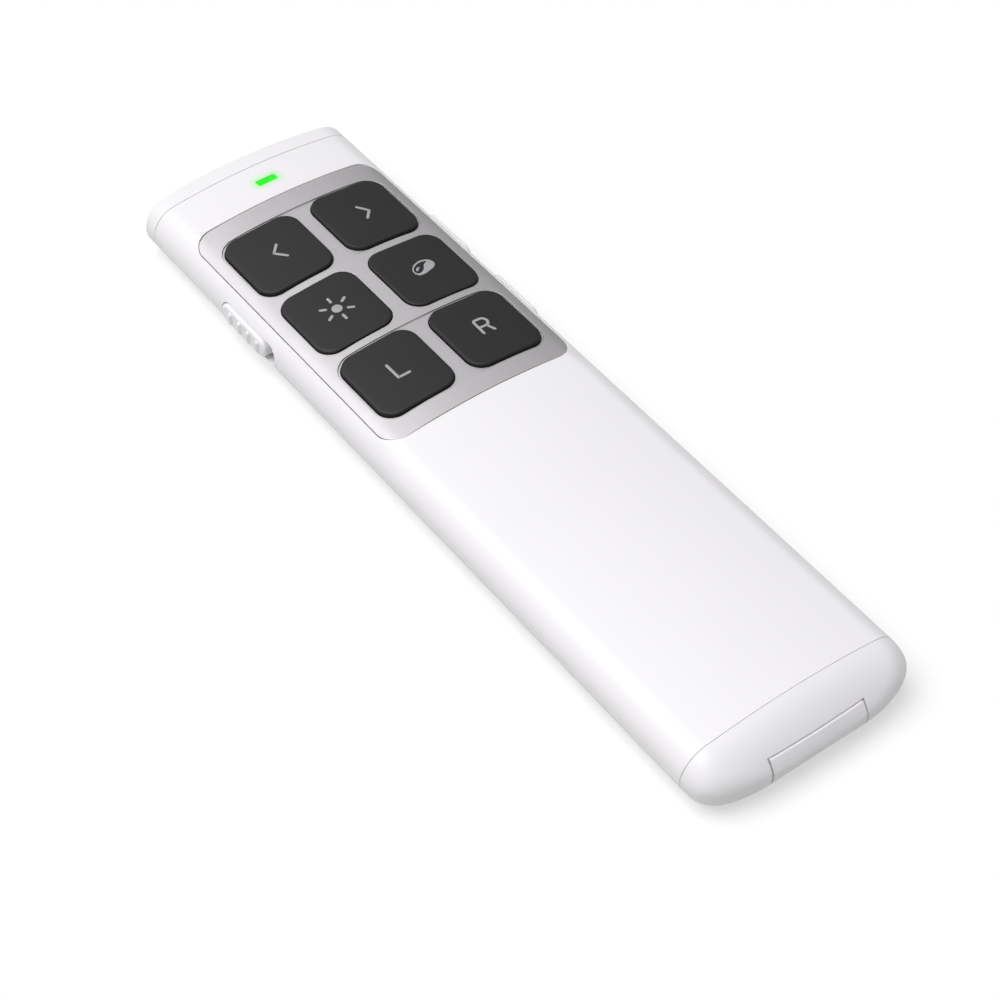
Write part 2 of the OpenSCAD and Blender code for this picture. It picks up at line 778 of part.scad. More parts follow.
// four screws that hold the shells together, heads down, each with a socket in its head
module case_screws() color(METAL)
difference() {
    union() {
        screw_points(screw_r, 0.6, parting_z + 3);
        screw_points(1.6, 0.3, 1.5);
    }
    screw_points(0.5, 0, 0.8);
}

module board_screws() color(METAL)
for (p = board_screw_points)
    difference() {
        union() {
            post(p[0], p[1], board_screw_r, wall + 0.2, board_top);
            post(p[0], p[1], 1.3, board_top, board_top + 0.8);
        }
        post(p[0], p[1], 0.4, board_top + 0.4, board_top + 2);
    }

top_shell();
bottom_shell();
front_cap();
tail_cap();
key_panel();
key_previous();
key_next();
key_highlight();
key_screen();
key_left();
key_right();
stem_previous();
stem_next();
stem_highlight();
stem_screen();
stem_left();
stem_right();
key_switch_bodies();
side_key_front();
side_key_rear();
side_stem_front();
side_stem_rear();
side_switch_bodies();
power_slider();
power_switch_lever();
power_switch_body();
main_board();
radio_chip();
radio_crystal();
chip_antenna();
motion_sensor();
charge_chip();
status_led();
light_pipe();
laser_barrel();
laser_diode();
laser_lens();
laser_leads();
laser_window();
charging_socket_shell();
charging_socket_tongue();
battery_cell();
battery_tape();
battery_board();
battery_leads();
receiver_grip();
receiver_plug_shell();
receiver_tongue();
receiver_contacts();
case_screws();
board_screws();
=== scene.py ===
"""Looks of the wireless presentation clicker, in Blender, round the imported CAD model.

All lengths are in millimetres until a mesh is made. X is to the right, Y to the front end and Z up.
"""

import json
import math
from collections import namedtuple

import bmesh
import bpy
import numpy as np
from mathutils import Matrix, Vector


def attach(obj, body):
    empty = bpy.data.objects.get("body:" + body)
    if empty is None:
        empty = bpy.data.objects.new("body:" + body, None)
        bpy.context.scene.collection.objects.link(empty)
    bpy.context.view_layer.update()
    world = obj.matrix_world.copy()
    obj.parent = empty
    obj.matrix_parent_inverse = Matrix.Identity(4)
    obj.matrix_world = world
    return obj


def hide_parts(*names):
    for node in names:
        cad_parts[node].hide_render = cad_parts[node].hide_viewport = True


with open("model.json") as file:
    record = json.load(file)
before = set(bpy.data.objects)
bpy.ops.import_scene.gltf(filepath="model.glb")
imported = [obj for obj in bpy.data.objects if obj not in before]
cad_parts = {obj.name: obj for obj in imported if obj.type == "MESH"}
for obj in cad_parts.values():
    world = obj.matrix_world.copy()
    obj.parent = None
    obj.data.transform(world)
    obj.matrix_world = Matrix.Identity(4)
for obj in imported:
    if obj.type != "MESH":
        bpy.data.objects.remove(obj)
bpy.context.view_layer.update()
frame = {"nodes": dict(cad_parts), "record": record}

MM = 0.001
# distance between two grid lines that share a place, at the top and at the foot of an upright wall
HAIR = 1e-5
# least distance between other grid lines, wider than the rounding of the edges
NARROW = 0.13
# where grid lines cut a round corner
CORNER_SHARES = np.arange(1, 7) / 6
# points closer than this are one point
MERGE = 0.0004
# wall edges sharper than this turn, in degrees, get a small round
SHARP = 38
SHELL_EDGE = 0.07
CAP_EDGE = 0.06

# Casing
HALF_W = 17.7
FRONT_Y = 66.25
CROWN_TOP = 10.0
CROWN_R = 100.0
SHOULDER_R = 4.3
SIDE_FLAT = 0.06
WALL = 1.2
PARTING_Z = 4.4
CROWN_Z = CROWN_TOP - CROWN_R
SHOULDER_X = HALF_W - SHOULDER_R
CROWN_TURN = math.asin(SHOULDER_X / (CROWN_R - SHOULDER_R))
SHOULDER_Z = CROWN_Z + (CROWN_R - SHOULDER_R) * math.cos(CROWN_TURN)
LOWER_R = SHOULDER_Z - SIDE_FLAT
LOWER_X = HALF_W - LOWER_R

# Ends: where the rounding starts and ends, and the powers of its side, top and under curve
NOSE_Z = 4.4
SEAM_FRONT = FRONT_Y - 3.35
SEAM_TAIL = 6.2 - FRONT_Y
End = namedtuple("End", "start tip side top under")
FRONT = End(FRONT_Y - 0.9, FRONT_Y, 1.7, 3.0, 3.0)
TAIL = End(SEAM_TAIL, -FRONT_Y, 3.2, 1.45, 2.2)
LAST_SHARE = 0.995
SEAM_GAP = 0.08

# Keys
KEY_W = 12.455
KEY_L = 13.2
KEY_R = 2.6
KEY_RISE = 0.3
KEY_GAP = 0.12
KEY_FILLET = 0.22
KEY_SKIRT = 2.2
COLUMN_PITCH = 15.085
ROW_PITCH = 15.0
MID_ROW_Y = 29.15
KEY_PLACES = {
    "previous": (-1, 1), "next": (1, 1),
    "highlight": (-1, 0), "screen": (1, 0),
    "left": (-1, -1), "right": (1, -1),
}

# Key panel
PANEL_W = 31.9
PANEL_L = 51.1
PANEL_R = 3.2
PANEL_Y = 29.4
PANEL_T = 0.7
PANEL_GAP = 0.11
POCKET_DEPTH = 0.25
EASE_FROM = 7.0
POCKET_EDGE = 0.45
PANEL_STEPS = (1.3, 2.4)

# Side controls
SIDE_Z = 4.7
SIDE_H = 3.2
SIDE_GAP = 0.15
SLOT_H = SIDE_H + 2 * SIDE_GAP
SLIDER_Y = 38.3
SLIDER_L = 11.5
SLIDER_RISE = 0.25
SLOT_Y = 37.2
SLOT_L = 14.0
SIDE_KEY_L = 11.0
SIDE_KEY_YS = (37.05, 20.6)
SIDE_KEY_RISE = 0.5
PAD_X = 15.1
PLATE_T = 0.8
PLATE_H = 4.6
RIB_R = 0.45
RIB_H = 2.2
RIB_OUT = 0.33
RIB_PITCH = SLIDER_L / 4.85
RIBS_Y = SLIDER_Y - 0.4
SIDE_KEY_FILLET = 0.4
SLIDER_FILLET = 0.5
# how far a plate reaches past its slider or key
SLIDER_PLATE = 3.0
KEY_PLATE = 0.9
LINER = HALF_W - PAD_X

# Light, laser and charging
LIGHT_Y = 58.9
LIGHT_W = 3.3
LIGHT_L = 1.1
LIGHT_GAP = 0.05
LIGHT_R = 0.18
LIGHT_HOLE_R = 0.2
LIGHT_FILLET = 0.06
LIGHT_SUNK = 0.18
PIPE_L = 3.4
# reach and strength of the green glow painted on the white wall round the lit window
GLOW_REACH = 1.3
GLOW = 0.07
LASER = (-6.5, 5.0)
LASER_R = 2.2
SOCKET = (7.0, 6.18)
SOCKET_R = 1.7
SOCKET_HALF = 2.89

# Screws and receiver
SCREW_HOLE_R = 1.75
SCREWS = [(side * x, y) for x, y in ((10.8, -50.0), (12.2, 54.6)) for side in (-1, 1)]
GRIP_HALF = 7.7
GRIP_TOP = 6.5
GRIP_LIFT = 0.1
GRIP_IN_Y = -59.05
BAY_GAP = 0.27
BAY_HALF = GRIP_HALF + BAY_GAP
BAY_TOP = GRIP_TOP + BAY_GAP
BAY_END = GRIP_IN_Y + BAY_GAP
# the bay's walls, where its sides and its roof start, and the plug's opening and tunnel
BAY_WALL = 0.93
BAY_RIM_Y = -64.4
BAY_ROOF_Y = -63.6
PLUG_HALF = 6.22
PLUG_TOP = 5.97
PLUG_END = -45.6


# ==== Casing section ====

def crown(x, lift=0.0):
    """Height at x of the crowned top, or of a surface a lift above it: a circle of radius CROWN_R + lift."""
    return CROWN_Z + np.sqrt((CROWN_R + lift) ** 2 - x ** 2)


# the half section as arcs and straights from the middle of the top: centre, radius, first angle from upright
ARC_X = np.array([0, SHOULDER_X, SHOULDER_X, LOWER_X, LOWER_X])
ARC_Z = np.array([CROWN_Z, SHOULDER_Z, SHOULDER_Z, LOWER_R, LOWER_R])
ARC_R = np.array([CROWN_R, SHOULDER_R, SHOULDER_R, LOWER_R, LOWER_R])
ARC_TURN = np.array([0, CROWN_TURN, math.pi / 2, math.pi / 2, math.pi])
ARC_BENT = np.array([1, 1, 0, 1, 0])
ARC_LENGTH = np.array([CROWN_R * CROWN_TURN, SHOULDER_R * (math.pi / 2 - CROWN_TURN), SIDE_FLAT,
                       LOWER_R * math.pi / 2, LOWER_X])
ARC_START = np.concatenate([[0], np.cumsum(ARC_LENGTH)])
RUN_END = ARC_START[-1]


def section(run):
    """The casing's outline: x and z at a distance run along it from the middle of the top, to the right
    where run is positive. On an arc the point turns about its centre, else it slides on."""
    far = np.abs(run)
    arc = np.clip(np.searchsorted(ARC_START, far, side="right") - 1, 0, 4)
    past = far - ARC_START[arc]
    turn = ARC_TURN[arc] + ARC_BENT[arc] * past / ARC_R[arc]
    slide = (1 - ARC_BENT[arc]) * past
    x = ARC_X[arc] + ARC_R[arc] * np.sin(turn) + slide * np.cos(turn)
    z = ARC_Z[arc] + ARC_R[arc] * np.cos(turn) - slide * np.sin(turn)
    return np.where(run < 0, -x, x), z


def run_over(x):
    """Distance along the outline to the point of the top over x: arc sines on crown and shoulder."""
    far = np.abs(x)
    on_crown = CROWN_R * np.arcsin(np.minimum(far / CROWN_R, 1))
    lean = np.arcsin(np.clip((far - SHOULDER_X) / SHOULDER_R, -1, 1))
    return np.sign(x) * np.where(far < CROWN_R * math.sin(CROWN_TURN), on_crown,
                                 ARC_START[1] + SHOULDER_R * (lean - CROWN_TURN))


def skin_height(x):
    """Height of the casing's upper skin over x, crown and shoulder."""
    return section(run_over(x))[1]


def run_beside(z):
    """Distance along the outline to the point of the side at height z, on shoulder or lower arc."""
    high = np.arccos(np.clip((z - SHOULDER_Z) / SHOULDER_R, 0, 1))
    low = np.arcsin(np.clip((LOWER_R - z) / LOWER_R, 0, 1))
    return np.where(z > SHOULDER_Z, ARC_START[1] + SHOULDER_R * (high - CROWN_TURN),
                    np.where(z < LOWER_R, ARC_START[3] + LOWER_R * low, ARC_START[3] - (z - LOWER_R)))


def run_under(x):
    """Distance along the outline to the point of the underside that lies under x."""
    far = np.abs(x)
    lean = np.arcsin(np.clip((far - LOWER_X) / LOWER_R, 0, 1))
    return RUN_END - np.where(far < LOWER_X, far, LOWER_X + LOWER_R * lean)


# ==== Meshes ====

def grid_faces(rows, columns):
    """Faces of a grid of points: each joins two neighbours of a row to the two in the next row."""
    row, column = np.meshgrid(np.arange(rows - 1), np.arange(columns - 1), indexing="ij")
    here = row * columns + column
    return np.stack([here, here + 1, here + columns + 1, here + columns], -1)


def skin(points, keep=None):
    """A grid of points (rows, columns, 3) as a list of points and one of faces, only those to keep."""
    faces = grid_faces(*points.shape[:2])
    return points.reshape(-1, 3), faces.reshape(-1, 4) if keep is None else faces[keep]


def joined(*parts):
    """Several (points, faces) pairs as one: the faces of each count on from the points before."""
    starts = np.cumsum([0] + [len(points) for points, faces in parts[:-1]])
    return (np.concatenate([points for points, faces in parts]),
            np.concatenate([faces + start for start, (points, faces) in zip(starts, parts)]))


def placed(name, data):
    """A new object in the scene that shows the data."""
    made = bpy.data.objects.new(name, data)
    bpy.context.scene.collection.objects.link(made)
    return made


def piece(name, shape, body, slot, stands_for=(), outward=None, wall=0.0, edge=0.0, material=None):
    """Makes a piece at the origin from points in millimetres, in its slot's finish unless another material is
    given: doubles merged, faces outward, and then for an open skin a wall inwards, and for its edges a small
    round. outward gives, for an open skin, a way out at each face's middle, since it has no inside."""
    points, faces = shape
    mesh = bpy.data.meshes.new(name)
    mesh.from_pydata((points * MM).tolist(), [], faces.tolist())
    work = bmesh.new()
    work.from_mesh(mesh)
    bmesh.ops.remove_doubles(work, verts=work.verts, dist=MERGE * MM)
    bmesh.ops.recalc_face_normals(work, faces=work.faces)
    work.to_mesh(mesh)
    work.free()
    if outward is not None:
        normals = np.array([face.normal for face in mesh.polygons])
        middles = np.array([face.center for face in mesh.polygons]) / MM
        if (normals * outward(middles)).sum() < 0:
            mesh.flip_normals()
    mesh.shade_smooth()
    mesh.materials.append(material or FINISHES[slot])
    made = placed(name, mesh)
    if wall:
        thick = made.modifiers.new("wall", "SOLIDIFY")
        thick.thickness = wall * MM
        thick.offset = -1
        thick.use_even_offset = True
    if edge:
        round_off = made.modifiers.new("edge", "BEVEL")
        round_off.width = edge * MM
        round_off.segments = 2
        round_off.limit_method = "ANGLE"
        round_off.angle_limit = math.radians(SHARP)
        round_off.use_clamp_overlap = False
        round_off.harden_normals = True
    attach(made, body)
    if stands_for:
        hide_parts(*stands_for)


def from_axis(middles):
    """Ways out of the long casing: away from its axis, and at the ends away from the ends' middles."""
    return middles - middles * (0, 0.93, 0) - (0, 0, 5)


def through(low, high, step, edges, marks):
    """Grid lines from low to high, at most a step apart: through every edge, and through the marks that are
    no closer than NARROW to another line."""
    places = [low, high, *(edge for edge in edges if low < edge < high)]
    for mark in marks:
        if low < mark < high and np.abs(np.array(places) - mark).min() > NARROW:
            places.append(mark)
    places = np.unique(np.round(places, 7))
    stretches = [np.linspace(start, end, math.ceil((end - start) / step - 1e-6) + 1)[1:]
                 for start, end in zip(places[:-1], places[1:])]
    return np.concatenate([places[:1], *stretches])


def corner_marks(middle, half, corner):
    """Lines that cut the stretch along each round corner of a hole."""
    back = corner * CORNER_SHARES
    return [*(middle - half + back), *(middle + half - back)]


def hole_edges(middle, half):
    """Both sides of a hole."""
    return [middle - half, middle + half]


def on_arc(back_u, back_y, corner):
    """How far a point of a square corner moves to lie on the round one: a point some way back from the
    corner along one side goes to the same share of the half arc between that side and the diagonal."""
    back_u, back_y = np.minimum(back_u, corner), np.minimum(back_y, corner)
    turn = math.pi / 4 * (1 + (back_u - back_y) / corner)
    return corner * np.cos(turn) - corner + back_u, corner * np.sin(turn) - corner + back_y


def round_hole(u, y, hole, reach):
    """How far grid points slide so that a square hole gets its round corners: those on its outline go onto
    the arcs, and those outside follow less and less, up to reach away."""
    (mid_u, mid_y), (half_u, half_y), corner = hole
    far_u, far_y = np.abs(u - mid_u), np.abs(y - mid_y)
    outside = (far_u > half_u - 1e-4) | (far_y > half_y - 1e-4)
    edge_u, edge_y = np.minimum(far_u, half_u), np.minimum(far_y, half_y)
    follow = np.clip(1 - np.hypot(far_u - edge_u, far_y - edge_y) / reach, 0, 1) * outside
    slide_u, slide_y = on_arc(half_u - edge_u, half_y - edge_y, corner)
    return np.array([np.sign(u - mid_u) * slide_u * follow, np.sign(y - mid_y) * slide_y * follow])


def round_plate(u, y, plate, reach):
    """How far grid points slide so that a square plate gets its round corners: those inside follow the
    nearest points of both sides, weighted by how near each is, less and less down to reach inside."""
    (mid_u, mid_y), (half_u, half_y), corner = plate
    back_u, back_y = half_u - np.abs(u - mid_u) + 1e-6, half_y - np.abs(y - mid_y) + 1e-6
    both = back_u + back_y
    side_u, side_y = on_arc(np.zeros_like(u), back_y, corner)
    end_u, end_y = on_arc(back_u, np.zeros_like(u), corner)
    follow = np.clip(1 - np.minimum(back_u, back_y) / reach, 0, 1)
    slide_u = (side_u * back_y + end_u * back_u) / both * follow
    slide_y = (side_y * back_y + end_y * back_u) / both * follow
    return np.array([np.sign(u - mid_u) * slide_u, np.sign(y - mid_y) * slide_y])


def kept(u, y, holes):
    """Which cells of a grid of lines u and y lie in none of the holes."""
    mid_u, mid_y = (u[1:] + u[:-1]) / 2, (y[1:] + y[:-1]) / 2
    keep = np.ones((len(mid_u), len(mid_y)), bool)
    for (hole_u, hole_y), (half_u, half_y), corner in holes:
        keep &= ~((np.abs(mid_u - hole_u) < half_u)[:, None] & (np.abs(mid_y - hole_y) < half_y))
    return keep


# ==== Key panel and keys ====

KEY_HOLE = (KEY_W / 2 + KEY_GAP, KEY_L / 2 + KEY_GAP)
POCKET = (COLUMN_PITCH / 2 + KEY_W / 2 + POCKET_EDGE, KEY_L / 2 + POCKET_EDGE)
PANEL = ((0.0, PANEL_Y), (PANEL_W / 2, PANEL_L / 2), PANEL_R)


def panel_height(x):
    """Height of the key panel over x: the casing's skin, and outside EASE_FROM its mean with a parabola that
    leaves it along its slope and meets it again at the panel's edge, so that the sheen eases over."""
    start, edge = skin_height(np.array([EASE_FROM, PANEL_W / 2]))
    slope = EASE_FROM / math.sqrt(CROWN_R ** 2 - EASE_FROM ** 2)
    width = PANEL_W / 2 - EASE_FROM
    bend = (start - edge - slope * width) / width ** 2
    past = np.maximum(np.abs(x) - EASE_FROM, 0)
    eased = start - slope * past - bend * past ** 2
    return np.where(past > 0, (skin_height(x) + eased) / 2, skin_height(x))


def key_panel():
    """The flush plate: its height over x on a grid in plan, sunk in two round-cornered pockets. Each
    pocket's outline is two grid lines a hair apart, at the top and at the foot of its upright wall."""
    holes = [((column * COLUMN_PITCH / 2, MID_ROW_Y + row * ROW_PITCH), KEY_HOLE, KEY_R + KEY_GAP)
             for column, row in KEY_PLACES.values()]
    pockets = [((0.0, MID_ROW_Y + row * ROW_PITCH), POCKET, KEY_R + POCKET_EDGE) for row in (-1, 1)]
    axes = []
    for axis, step in enumerate(PANEL_STEPS):
        edges = [edge for mid, half, r in holes + pockets for edge in hole_edges(mid[axis], half[axis])]
        marks = [mark for mid, half, r in [*holes, PANEL]
                 for mark in corner_marks(mid[axis], half[axis], r)]
        axes.append(through(*hole_edges(PANEL[0][axis], PANEL[1][axis]), step, edges, marks))
    x, y = axes
    x = np.sort(np.concatenate([x, [POCKET[0] - HAIR, HAIR - POCKET[0]]]))
    y = np.sort(np.concatenate([y, *[[mid[1] - half[1] + HAIR, mid[1] + half[1] - HAIR]
                                     for mid, half, r in pockets]]))
    keep = kept(x, y, holes)
    u, v = np.meshgrid(x, y, indexing="ij")
    sunk = np.zeros(u.shape, bool)
    for mid, half, r in pockets:
        sunk |= (np.abs(u) < half[0] - HAIR / 2) & (np.abs(v - mid[1]) < half[1] - HAIR / 2)
    free, boxed_in = 1.1, 0.3
    slides = [round_hole(u, v, pocket, free) for pocket in pockets]
    slides += [round_hole(u, v, hole, free if hole[0][1] == MID_ROW_Y else boxed_in) for hole in holes]
    slide = sum(slides) + round_plate(u, v, PANEL, 1.6)
    u, v = u + slide[0], v + slide[1]
    z = panel_height(u) - np.where(sunk, POCKET_DEPTH, 0.0)
    piece("panel_plate", skin(np.stack([u, v, z], -1), keep), "casing", "panel_satin_silver",
          ["key_panel"], lambda middles: np.array([[0, 0, 1.0]]), PANEL_T - POCKET_DEPTH, SHELL_EDGE)


def rounded_outline(half_u, half_v, corner, count):
    """Points round a rectangle with round corners: each corner an arc of count steps from side to side."""
    turn = np.linspace(0, math.pi / 2, count + 1)
    turns = np.concatenate([turn + quarter * math.pi / 2 for quarter in range(4)])
    across = np.repeat([1, -1, -1, 1], count + 1) * (half_u - corner)
    along = np.repeat([1, 1, -1, -1], count + 1) * (half_v - corner)
    return across + corner * np.cos(turns), along + corner * np.sin(turns)


def cushion(half_u, half_v, corner, fillet, skirt, count=10):
    """A pushed-through face with soft edges, in its own plane: rings of the outline shrunk to the middle, a
    quarter round of radius fillet, an upright skirt and a flat foot. Gives u, v and the drop."""
    rings = []
    for share in (0.0, 0.2, 0.4, 0.6, 0.78, 0.92):
        u, v = rounded_outline(half_u - fillet, half_v - fillet, corner - fillet, count)
        rings.append((u * share, v * share, 0.0))
    for turn in np.linspace(0, math.pi / 2, 7):
        inset = fillet * (1 - math.sin(turn))
        u, v = rounded_outline(half_u - inset, half_v - inset, corner - inset, count)
        rings.append((u, v, fillet * (1 - math.cos(turn))))
    u, v = rounded_outline(half_u, half_v, corner, count)
    rings.append((u, v, skirt * 0.5))
    rings.append((u, v, skirt))
    rings.append((u * 0.5, v * 0.5, skirt))
    rings.append((u * 0, v * 0, skirt))
    u = np.array([np.append(u, u[0]) for u, v, drop in rings])
    v = np.array([np.append(v, v[0]) for u, v, drop in rings])
    return u, v, np.array([drop for u, v, drop in rings])[:, None] + np.zeros_like(u)


def key_centre(name):
    """Middle of a key's face in plan, from its column (-1 or 1) and its row (1 in front, 0, -1)."""
    column, row = KEY_PLACES[name]
    return np.array([column * COLUMN_PITCH / 2, MID_ROW_Y + row * ROW_PITCH])


def keys():
    """Six cushions, whose faces follow the crown a little above it."""
    for name in KEY_PLACES:
        u, v, drop = cushion(KEY_W / 2, KEY_L / 2, KEY_R, KEY_FILLET, KEY_SKIRT)
        x = u + key_centre(name)[0]
        y = v + key_centre(name)[1]
        piece("keycap_" + name, skin(np.stack([x, y, crown(x, KEY_RISE) - drop], -1)),
              f"key_{name}_body", "key_dark", ["key_" + name])


def lit_window():
    """The end of the light pipe: a small cushion that follows the crown, sunk a little in its opening."""
    u, v, drop = cushion(LIGHT_W / 2, LIGHT_L / 2, LIGHT_R, LIGHT_FILLET, PIPE_L, 4)
    face = skin(np.stack([u, v + LIGHT_Y, crown(u) - LIGHT_SUNK - drop], -1))
    piece("lit_window", face, "casing", "light_green", ["light_pipe"])


# ==== Top and bottom shell ====

SLOT_TOP = SIDE_Z + SLOT_H / 2
SLOT_FOOT = SIDE_Z - SLOT_H / 2
SLOT_R = SLOT_H / 2
# how far off the grid still follows a round corner, and how near the parting edge it may not
SLOT_REACH = 1.0
PANEL_REACH = 1.3
LIGHT_REACH = 0.3
WELL_REACH = 0.9
PARTING_FADE = 0.6
SLOT_SHARES = CORNER_SHARES[:-1]
SIDE_FROM = ARC_START[1] + 2
SIDE_TO = ARC_START[3] + 5
TOP_TO = ARC_START[2] - 1.6
BELOW_TO = LOWER_X + 2.2
# most between two grid lines: along the length, over the top, down the side and round below
STEP_LENGTH = 3.0
STEP_TOP = 1.6
STEP_SIDE = 0.42
STEP_BELOW = 0.7
# the openings in the sides: side, middle along the length, half length
SLOTS = [(-1, SLOT_Y, SLOT_L / 2), *((1, y, SIDE_KEY_L / 2 + SIDE_GAP) for y in SIDE_KEY_YS)]


def shell_rows():
    """Grid lines across the length for both shells: along the corners of slots, panel, light and screws."""
    holes = [(mid, half, SLOT_R) for side, mid, half in SLOTS]
    holes.append((PANEL_Y, PANEL_L / 2 + PANEL_GAP, PANEL_R + PANEL_GAP))
    holes.append((LIGHT_Y, LIGHT_L / 2 + LIGHT_GAP, LIGHT_HOLE_R))
    holes += [(y, SCREW_HOLE_R, SCREW_HOLE_R) for x, y in SCREWS if x > 0]
    edges = [edge for mid, half, corner in holes for edge in hole_edges(mid, half)]
    marks = [mark for mid, half, corner in holes for mark in corner_marks(mid, half, corner)]
    return through(SEAM_TAIL + SEAM_GAP, SEAM_FRONT - SEAM_GAP, STEP_LENGTH, [BAY_END, *edges], marks)


def round_slots(run, y):
    """Slides the grid points of the sides so that the square slots get half-round ends in side view."""
    for side, mid, half in SLOTS:
        here = (run * side > 0) & (np.abs(run) > SIDE_FROM) & (np.abs(run) < SIDE_TO)
        z = section(np.abs(run))[1]
        slide = round_hole(z, y, ((SIDE_Z, mid), (SLOT_R, half), SLOT_R), SLOT_REACH)
        free = np.clip(np.abs(z - PARTING_Z) / PARTING_FADE, 0, 1)
        run = np.where(here, side * run_beside(z + slide[0] * free), run)
        y = y + slide[1] * here
    return run, y


def liner(rim):
    """The wall of a slot behind its rim: the rim's points again and again, further in under the skin."""
    depth = np.array([0.0, WALL, LINER])
    inward = np.zeros((len(depth), len(rim), 3))
    inward[:, :, 0] = -np.sign(rim[:, 0]) * depth[:, None]
    return skin(rim[None] + inward)


def slot_liners(points, run, y, edge):
    """Liners for the part of each slot that a shell holds. edge is how far along the outline the slot's long
    side is; each rim goes from the shell's parting edge up one end, along that side and down the other."""
    parts = []
    for side, mid, half in SLOTS:
        back = int(np.argmin(np.abs(y - (mid - half))))
        front = int(np.argmin(np.abs(y - (mid + half))))
        inner = int(np.argmin(np.abs(run - side * edge)))
        outer = 0 if inner < len(run) / 2 else len(run) - 1
        step = 1 if outer > inner else -1
        ends = np.arange(outer, inner, -step)
        rim = np.concatenate([points[ends, back], points[inner, back:front + 1], points[ends[::-1], front]])
        parts.append(liner(rim))
    return parts


def half_slots(part, slot):
    """Each slot's part in one shell as a square hole from its long side to the shell's parting edge."""
    return [((side * (part + slot) / 2, mid), ((part - slot) / 2, half), 0) for side, mid, half in SLOTS]


def shell(name, node, run, y, keep, run_line, y_line, slot):
    """One half of the casing: the outline at each run, only the cells to keep, and its slots' liners."""
    x, z = section(run)
    points = np.stack([x, y, z], -1)
    shape = joined(skin(points, keep), *slot_liners(points, run_line, y_line, slot))
    piece(name, shape, "casing", "white_abs", [node], from_axis, WALL, SHELL_EDGE)


def top_shell():
    """The upper casing: the outline from parting line to parting line, carried along the length, with
    openings for the key panel, the lit window and the upper halves of the side slots."""
    opening = ((0.0, PANEL_Y), (PANEL_W / 2 + PANEL_GAP, PANEL_L / 2 + PANEL_GAP), PANEL_R + PANEL_GAP)
    window = ((0.0, LIGHT_Y), (LIGHT_W / 2 + LIGHT_GAP, LIGHT_L / 2 + LIGHT_GAP), LIGHT_HOLE_R)
    part = float(run_beside(PARTING_Z + SEAM_GAP / 2))
    slot = float(run_beside(SLOT_TOP))
    edges = [*run_over(np.array([opening[1][0], window[1][0]])), slot]
    marks = [*run_over(opening[1][0] - PANEL_R * CORNER_SHARES), *run_beside(SLOT_TOP - SLOT_R * SLOT_SHARES),
             float(run_over(window[1][0] - LIGHT_HOLE_R))]
    middle = through(0.0, ARC_START[1], STEP_TOP, edges, marks)
    half = np.concatenate([middle, through(ARC_START[1], part, STEP_SIDE, edges, marks)[1:]])
    run_line = np.concatenate([-half[:0:-1], half])
    y_line = shell_rows()
    holes = [((0.0, PANEL_Y), (float(run_over(opening[1][0])), opening[1][1]), 0),
             ((0.0, LIGHT_Y), (float(run_over(window[1][0])), window[1][1]), 0)]
    holes += half_slots(part, slot)
    keep = kept(run_line, y_line, holes)
    run, y = np.meshgrid(run_line, y_line, indexing="ij")
    run, y = round_slots(run, y)
    x = section(run)[0]
    on_top = np.abs(run) < TOP_TO
    slide = (round_hole(x, y, opening, PANEL_REACH) + round_hole(x, y, window, LIGHT_REACH)) * on_top
    run = np.where(on_top, run_over(x + slide[0]), run)
    shell("upper_casing", "top_shell", run, y + slide[1], keep, run_line, y_line, slot)


def bottom_shell():
    """The lower casing: the outline from parting line round below to parting line, with the lower halves of
    the slots, four screw wells and the rear notch over the receiver bay."""
    part = float(RUN_END - run_beside(PARTING_Z - SEAM_GAP / 2))
    slot = float(RUN_END - run_beside(SLOT_FOOT))
    screws = [x for x, y in SCREWS if x > 0]
    edges = [BAY_HALF, *(edge for x in screws for edge in hole_edges(x, SCREW_HOLE_R))]
    marks = [mark for x in screws for mark in corner_marks(x, SCREW_HOLE_R, SCREW_HOLE_R)]
    marks = [*(RUN_END - run_under(np.array(marks))),
             *(RUN_END - run_beside(SLOT_FOOT + SLOT_R * SLOT_SHARES))]
    half = through(0.0, part, STEP_BELOW, [*(RUN_END - run_under(np.array(edges))), slot], marks)
    across_line = np.concatenate([-half[:0:-1], half])
    y_line = shell_rows()
    size = (SCREW_HOLE_R, SCREW_HOLE_R)
    wells = [((x, y), size, SCREW_HOLE_R) for x, y in SCREWS]
    bay = ((0.0, SEAM_TAIL), (BAY_HALF, BAY_END - SEAM_TAIL), 0)
    square = [((np.sign(x) * (RUN_END - run_under(x)), y), size, 0) for x, y in SCREWS]
    keep = kept(across_line, y_line, [bay, *half_slots(part, slot), *square])
    across, y = np.meshgrid(across_line, y_line, indexing="ij")
    side = np.where(across < 0, -1, 1)
    run, y = round_slots(side * (RUN_END - np.abs(across)), y)
    x = section(run)[0]
    low = np.abs(across) < BELOW_TO
    slide = sum(round_hole(x, y, well, WELL_REACH) for well in wells) * low
    run = np.where(low, side * run_under(x + slide[0]), run)
    shell("lower_casing", "bottom_shell", run, y + slide[1], keep, across_line, y_line, slot)


# ==== End caps and receiver ====

def left_over(share, power):
    """Size that is left at a share of the way to an end whose curve has that power."""
    return (1 - np.clip(share, 0, 1) ** power) ** (1 / power)


def height_left(z, share, end):
    """Share of the height off NOSE_Z that is left, above it or below it."""
    return np.where(z > NOSE_Z, left_over(share, end.top), left_over(share, end.under))


def way_out(share, end):
    """Place along the length at a share of the way from an end's start to its tip."""
    return end.start + (end.tip - end.start) * share / LAST_SHARE


def drawn_in(run, share, end):
    """A point of the outline, drawn in towards the line at height NOSE_Z at a share of the way to an end."""
    x, z = section(run)
    return np.stack([x * left_over(share, end.side), way_out(share, end),
                     NOSE_Z + (z - NOSE_Z) * height_left(z, share, end)], -1)


